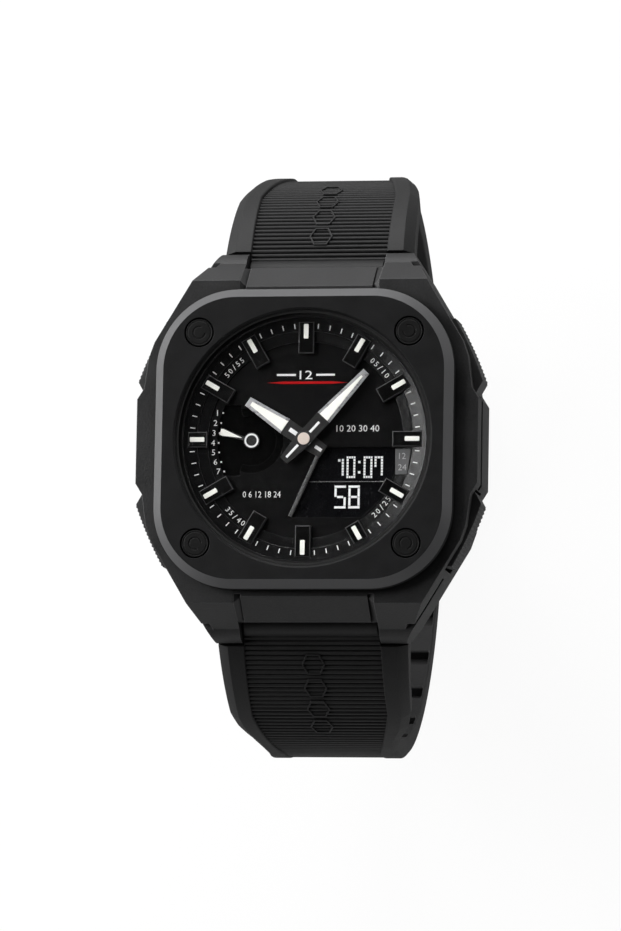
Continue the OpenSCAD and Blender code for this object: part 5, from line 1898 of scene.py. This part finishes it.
@dataclass
class Studio:
    """Camera, lamps, surround and floor.

    Attributes:
        eye: the camera's place.
        back: direction from the object to the camera.
        roll: the camera's turn about its own axis.
        lens: focal length over the sensor's long side.
        sensor: length of that side.
        clip: distances in metres between which the camera sees.
        lamps: name, place, size and power of each soft lamp.
        fade: heights between which the surround falls from its horizon to its zenith.
        horizon: strength of the surround at the horizon and below.
        zenith: its strength straight above.
        floor_half: half length of the floor in metres.
        floor_gap: distance of the floor under the watch in metres.
        paper: linear greys between which the floor's clouds vary.
        clouds: scale of those clouds.
        white: share of plain white that a ray from the camera or a mirror sees on the floor.
    """

    eye: Triple = (142.187, -111.061, 831.190)
    back: Triple = (0.16874188, -0.1280957, 0.97730122)
    roll: float = 1.04
    lens: float = 223.22
    sensor: float = 36.0
    clip: Pair = (0.05, 20.0)
    lamps: tuple[tuple[str, Triple, float, float], ...] = (
        ("lamp_top", (-60, 500, 200), 420, 3.6),
        ("lamp_left", (-480, 170, 150), 380, 4.0),
        ("lamp_high", (-300, 80, 450), 200, 0.9),
        ("lamp_right", (480, 150, 170), 300, 0.6),
        ("lamp_low", (60, -480, 200), 300, 0.35),
    )
    fade: Pair = (0.05, 0.75)
    horizon: float = 0.4
    zenith: float = 0.03
    floor_half: float = 2.5
    floor_gap: float = 0.00005
    paper: Pair = (0.86, 0.9)
    clouds: float = 3.0
    white: float = 0.92

    def camera(self) -> None:
        """Sets the camera: its right and up axes are turned by the roll about its back axis."""
        d = np.array(self.back)
        up = np.array([0, 1, 0]) - d * d[1]
        up /= np.linalg.norm(up)
        right = np.cross(up, d)
        c, s = math.cos(math.radians(self.roll)), math.sin(math.radians(self.roll))
        data = bpy.data.cameras.new("camera")
        data.lens, data.sensor_width = self.lens, self.sensor
        data.clip_start, data.clip_end = self.clip
        camera = bpy.data.objects.new("camera", data)
        hang(camera, self.eye, [c * right + s * up, -s * right + c * up, d])
        bpy.context.scene.camera = camera

    def light(self) -> None:
        """Hangs the soft lamps, each turned towards the watch."""
        for name, place, size, power in self.lamps:
            data = bpy.data.lights.new(name, "AREA")
            data.size, data.energy = size * MM, power
            back = np.array(place) / np.linalg.norm(place)
            side = np.cross((0, 0, 1), back)
            side /= np.linalg.norm(side)
            hang(bpy.data.objects.new(name, data), place, [side, np.cross(back, side), back])

    def world(self) -> None:
        """Soft surround: pale at the horizon and below, falling smoothly to a dim ceiling."""
        world = bpy.data.worlds.new("studio")
        world.use_nodes = True
        w = Wiring(world.node_tree)
        height = w.node("SeparateXYZ", Vector=w.node("TexCoord").outputs["Generated"]).outputs[2]
        fall = w.node("MapRange", {"interpolation_type": "SMOOTHSTEP"}, Value=height)
        for place, value in enumerate((*self.fade, self.horizon, self.zenith), 1):
            fall.inputs[place].default_value = value
        sky = w.node("Background", Color=(1, 1, 1, 1), Strength=fall.outputs[0])
        w.node("OutputWorld", Surface=sky.outputs[0])
        bpy.context.scene.world = world

    def floor_material(self) -> bpy.types.Material:
        """Pale paper that rays from the camera and from mirrors see as nearly plain white.

        Returns:
            The material.
        """
        made = bpy.data.materials.new("studio_floor")
        made.use_nodes = True
        w = Wiring(made.node_tree)
        place = w.node("TexCoord").outputs["Object"]
        cloud = w.node("TexNoise", Vector=place, Scale=self.clouds).outputs[0]
        dark, light = ((grey, grey, grey, 1) for grey in self.paper)
        paper = w.node("BsdfDiffuse", Color=w.blend(cloud, dark, light))
        white = w.node("Emission", Color=(1, 1, 1, 1), Strength=1.0)
        rays = w.node("LightPath").outputs
        mirrored = w.math("MAXIMUM", rays["Is Glossy Ray"], rays["Is Transmission Ray"])
        share = w.math("MULTIPLY", w.math("MAXIMUM", rays["Is Camera Ray"], mirrored), self.white)
        mixed = w.node("MixShader", in_0=share, in_1=paper.outputs[0], in_2=white.outputs[0])
        w.node("OutputMaterial", Surface=mixed.outputs[0])
        return made

    def floor(self, low: float) -> None:
        """White floor under the strap that still takes the watch's shadow.

        Args:
            low: height of the watch's lowest point in metres.
        """
        grid = np.linspace(-self.floor_half, self.floor_half, 41)
        x, y = np.meshgrid(grid, grid, indexing="ij")
        points = np.stack([x, y, low - self.floor_gap + 0 * x], -1)
        number = np.arange(x.size).reshape(x.shape)
        quads = np.stack([number[:-1, :-1], number[1:, :-1], number[1:, 1:], number[:-1, 1:]], -1)
        mesh = bpy.data.meshes.new("floor")
        mesh.from_pydata(points.reshape(-1, 3).tolist(), [], quads.reshape(-1, 4).tolist())
        mesh.materials.append(self.floor_material())
        floor = bpy.data.objects.new("floor", mesh)
        bpy.context.scene.collection.objects.link(floor)
        floor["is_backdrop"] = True

    def build(self, low: float) -> None:
        """Sets the whole studio.

        Args:
            low: height of the watch's lowest point in metres.
        """
        bpy.context.scene.view_settings.view_transform = "Standard"
        self.camera()
        self.light()
        self.world()
        self.floor(low)
        LOG.info("studio: %d lamps", len(self.lamps))


MINUTE = HandDress(
    "minute", 42.6, 13.75,
    stem=((-4.3, 0.69), (-0.9, 1.12), (0.9, 1.12), (4.2, 1.17)),
    lume=((4.22, 0.77), (12.43, 0.15)),
    dashes=((1.29, 3.3, 0.36), (-3.7, -1.23, 0.36)),
)
HOUR = HandDress(
    "hour", 303.55, 12.95,
    stem=((-3.32, 1.0), (-1.2, 1.2), (1.2, 1.2), (3.5, 1.25)),
    lume=((3.52, 0.85), (9.58, 0.31)),
    dashes=((1.43, 2.7, 0.6), (-3.0, -1.86, 0.5)),
)


def corner_lists(bounds: tuple[object, object]) -> list[list[float]]:
    """A box's two corners as plain lists."""
    return [[float(v) for v in corner] for corner in bounds]


def main() -> None:
    """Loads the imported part, dresses it and sets the studio."""
    logging.basicConfig(level=logging.INFO, format="%(name)s: %(message)s", stream=sys.stdout)
    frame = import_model()
    cad_box = corner_lists(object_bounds())
    dress_nodes(frame["nodes"])
    Dial().build()
    Fittings().build(frame["nodes"])
    MINUTE.build()
    HOUR.build()
    Strap().build()
    Studio().build(cad_box[0][2])


if __name__ == "__main__":
    main()
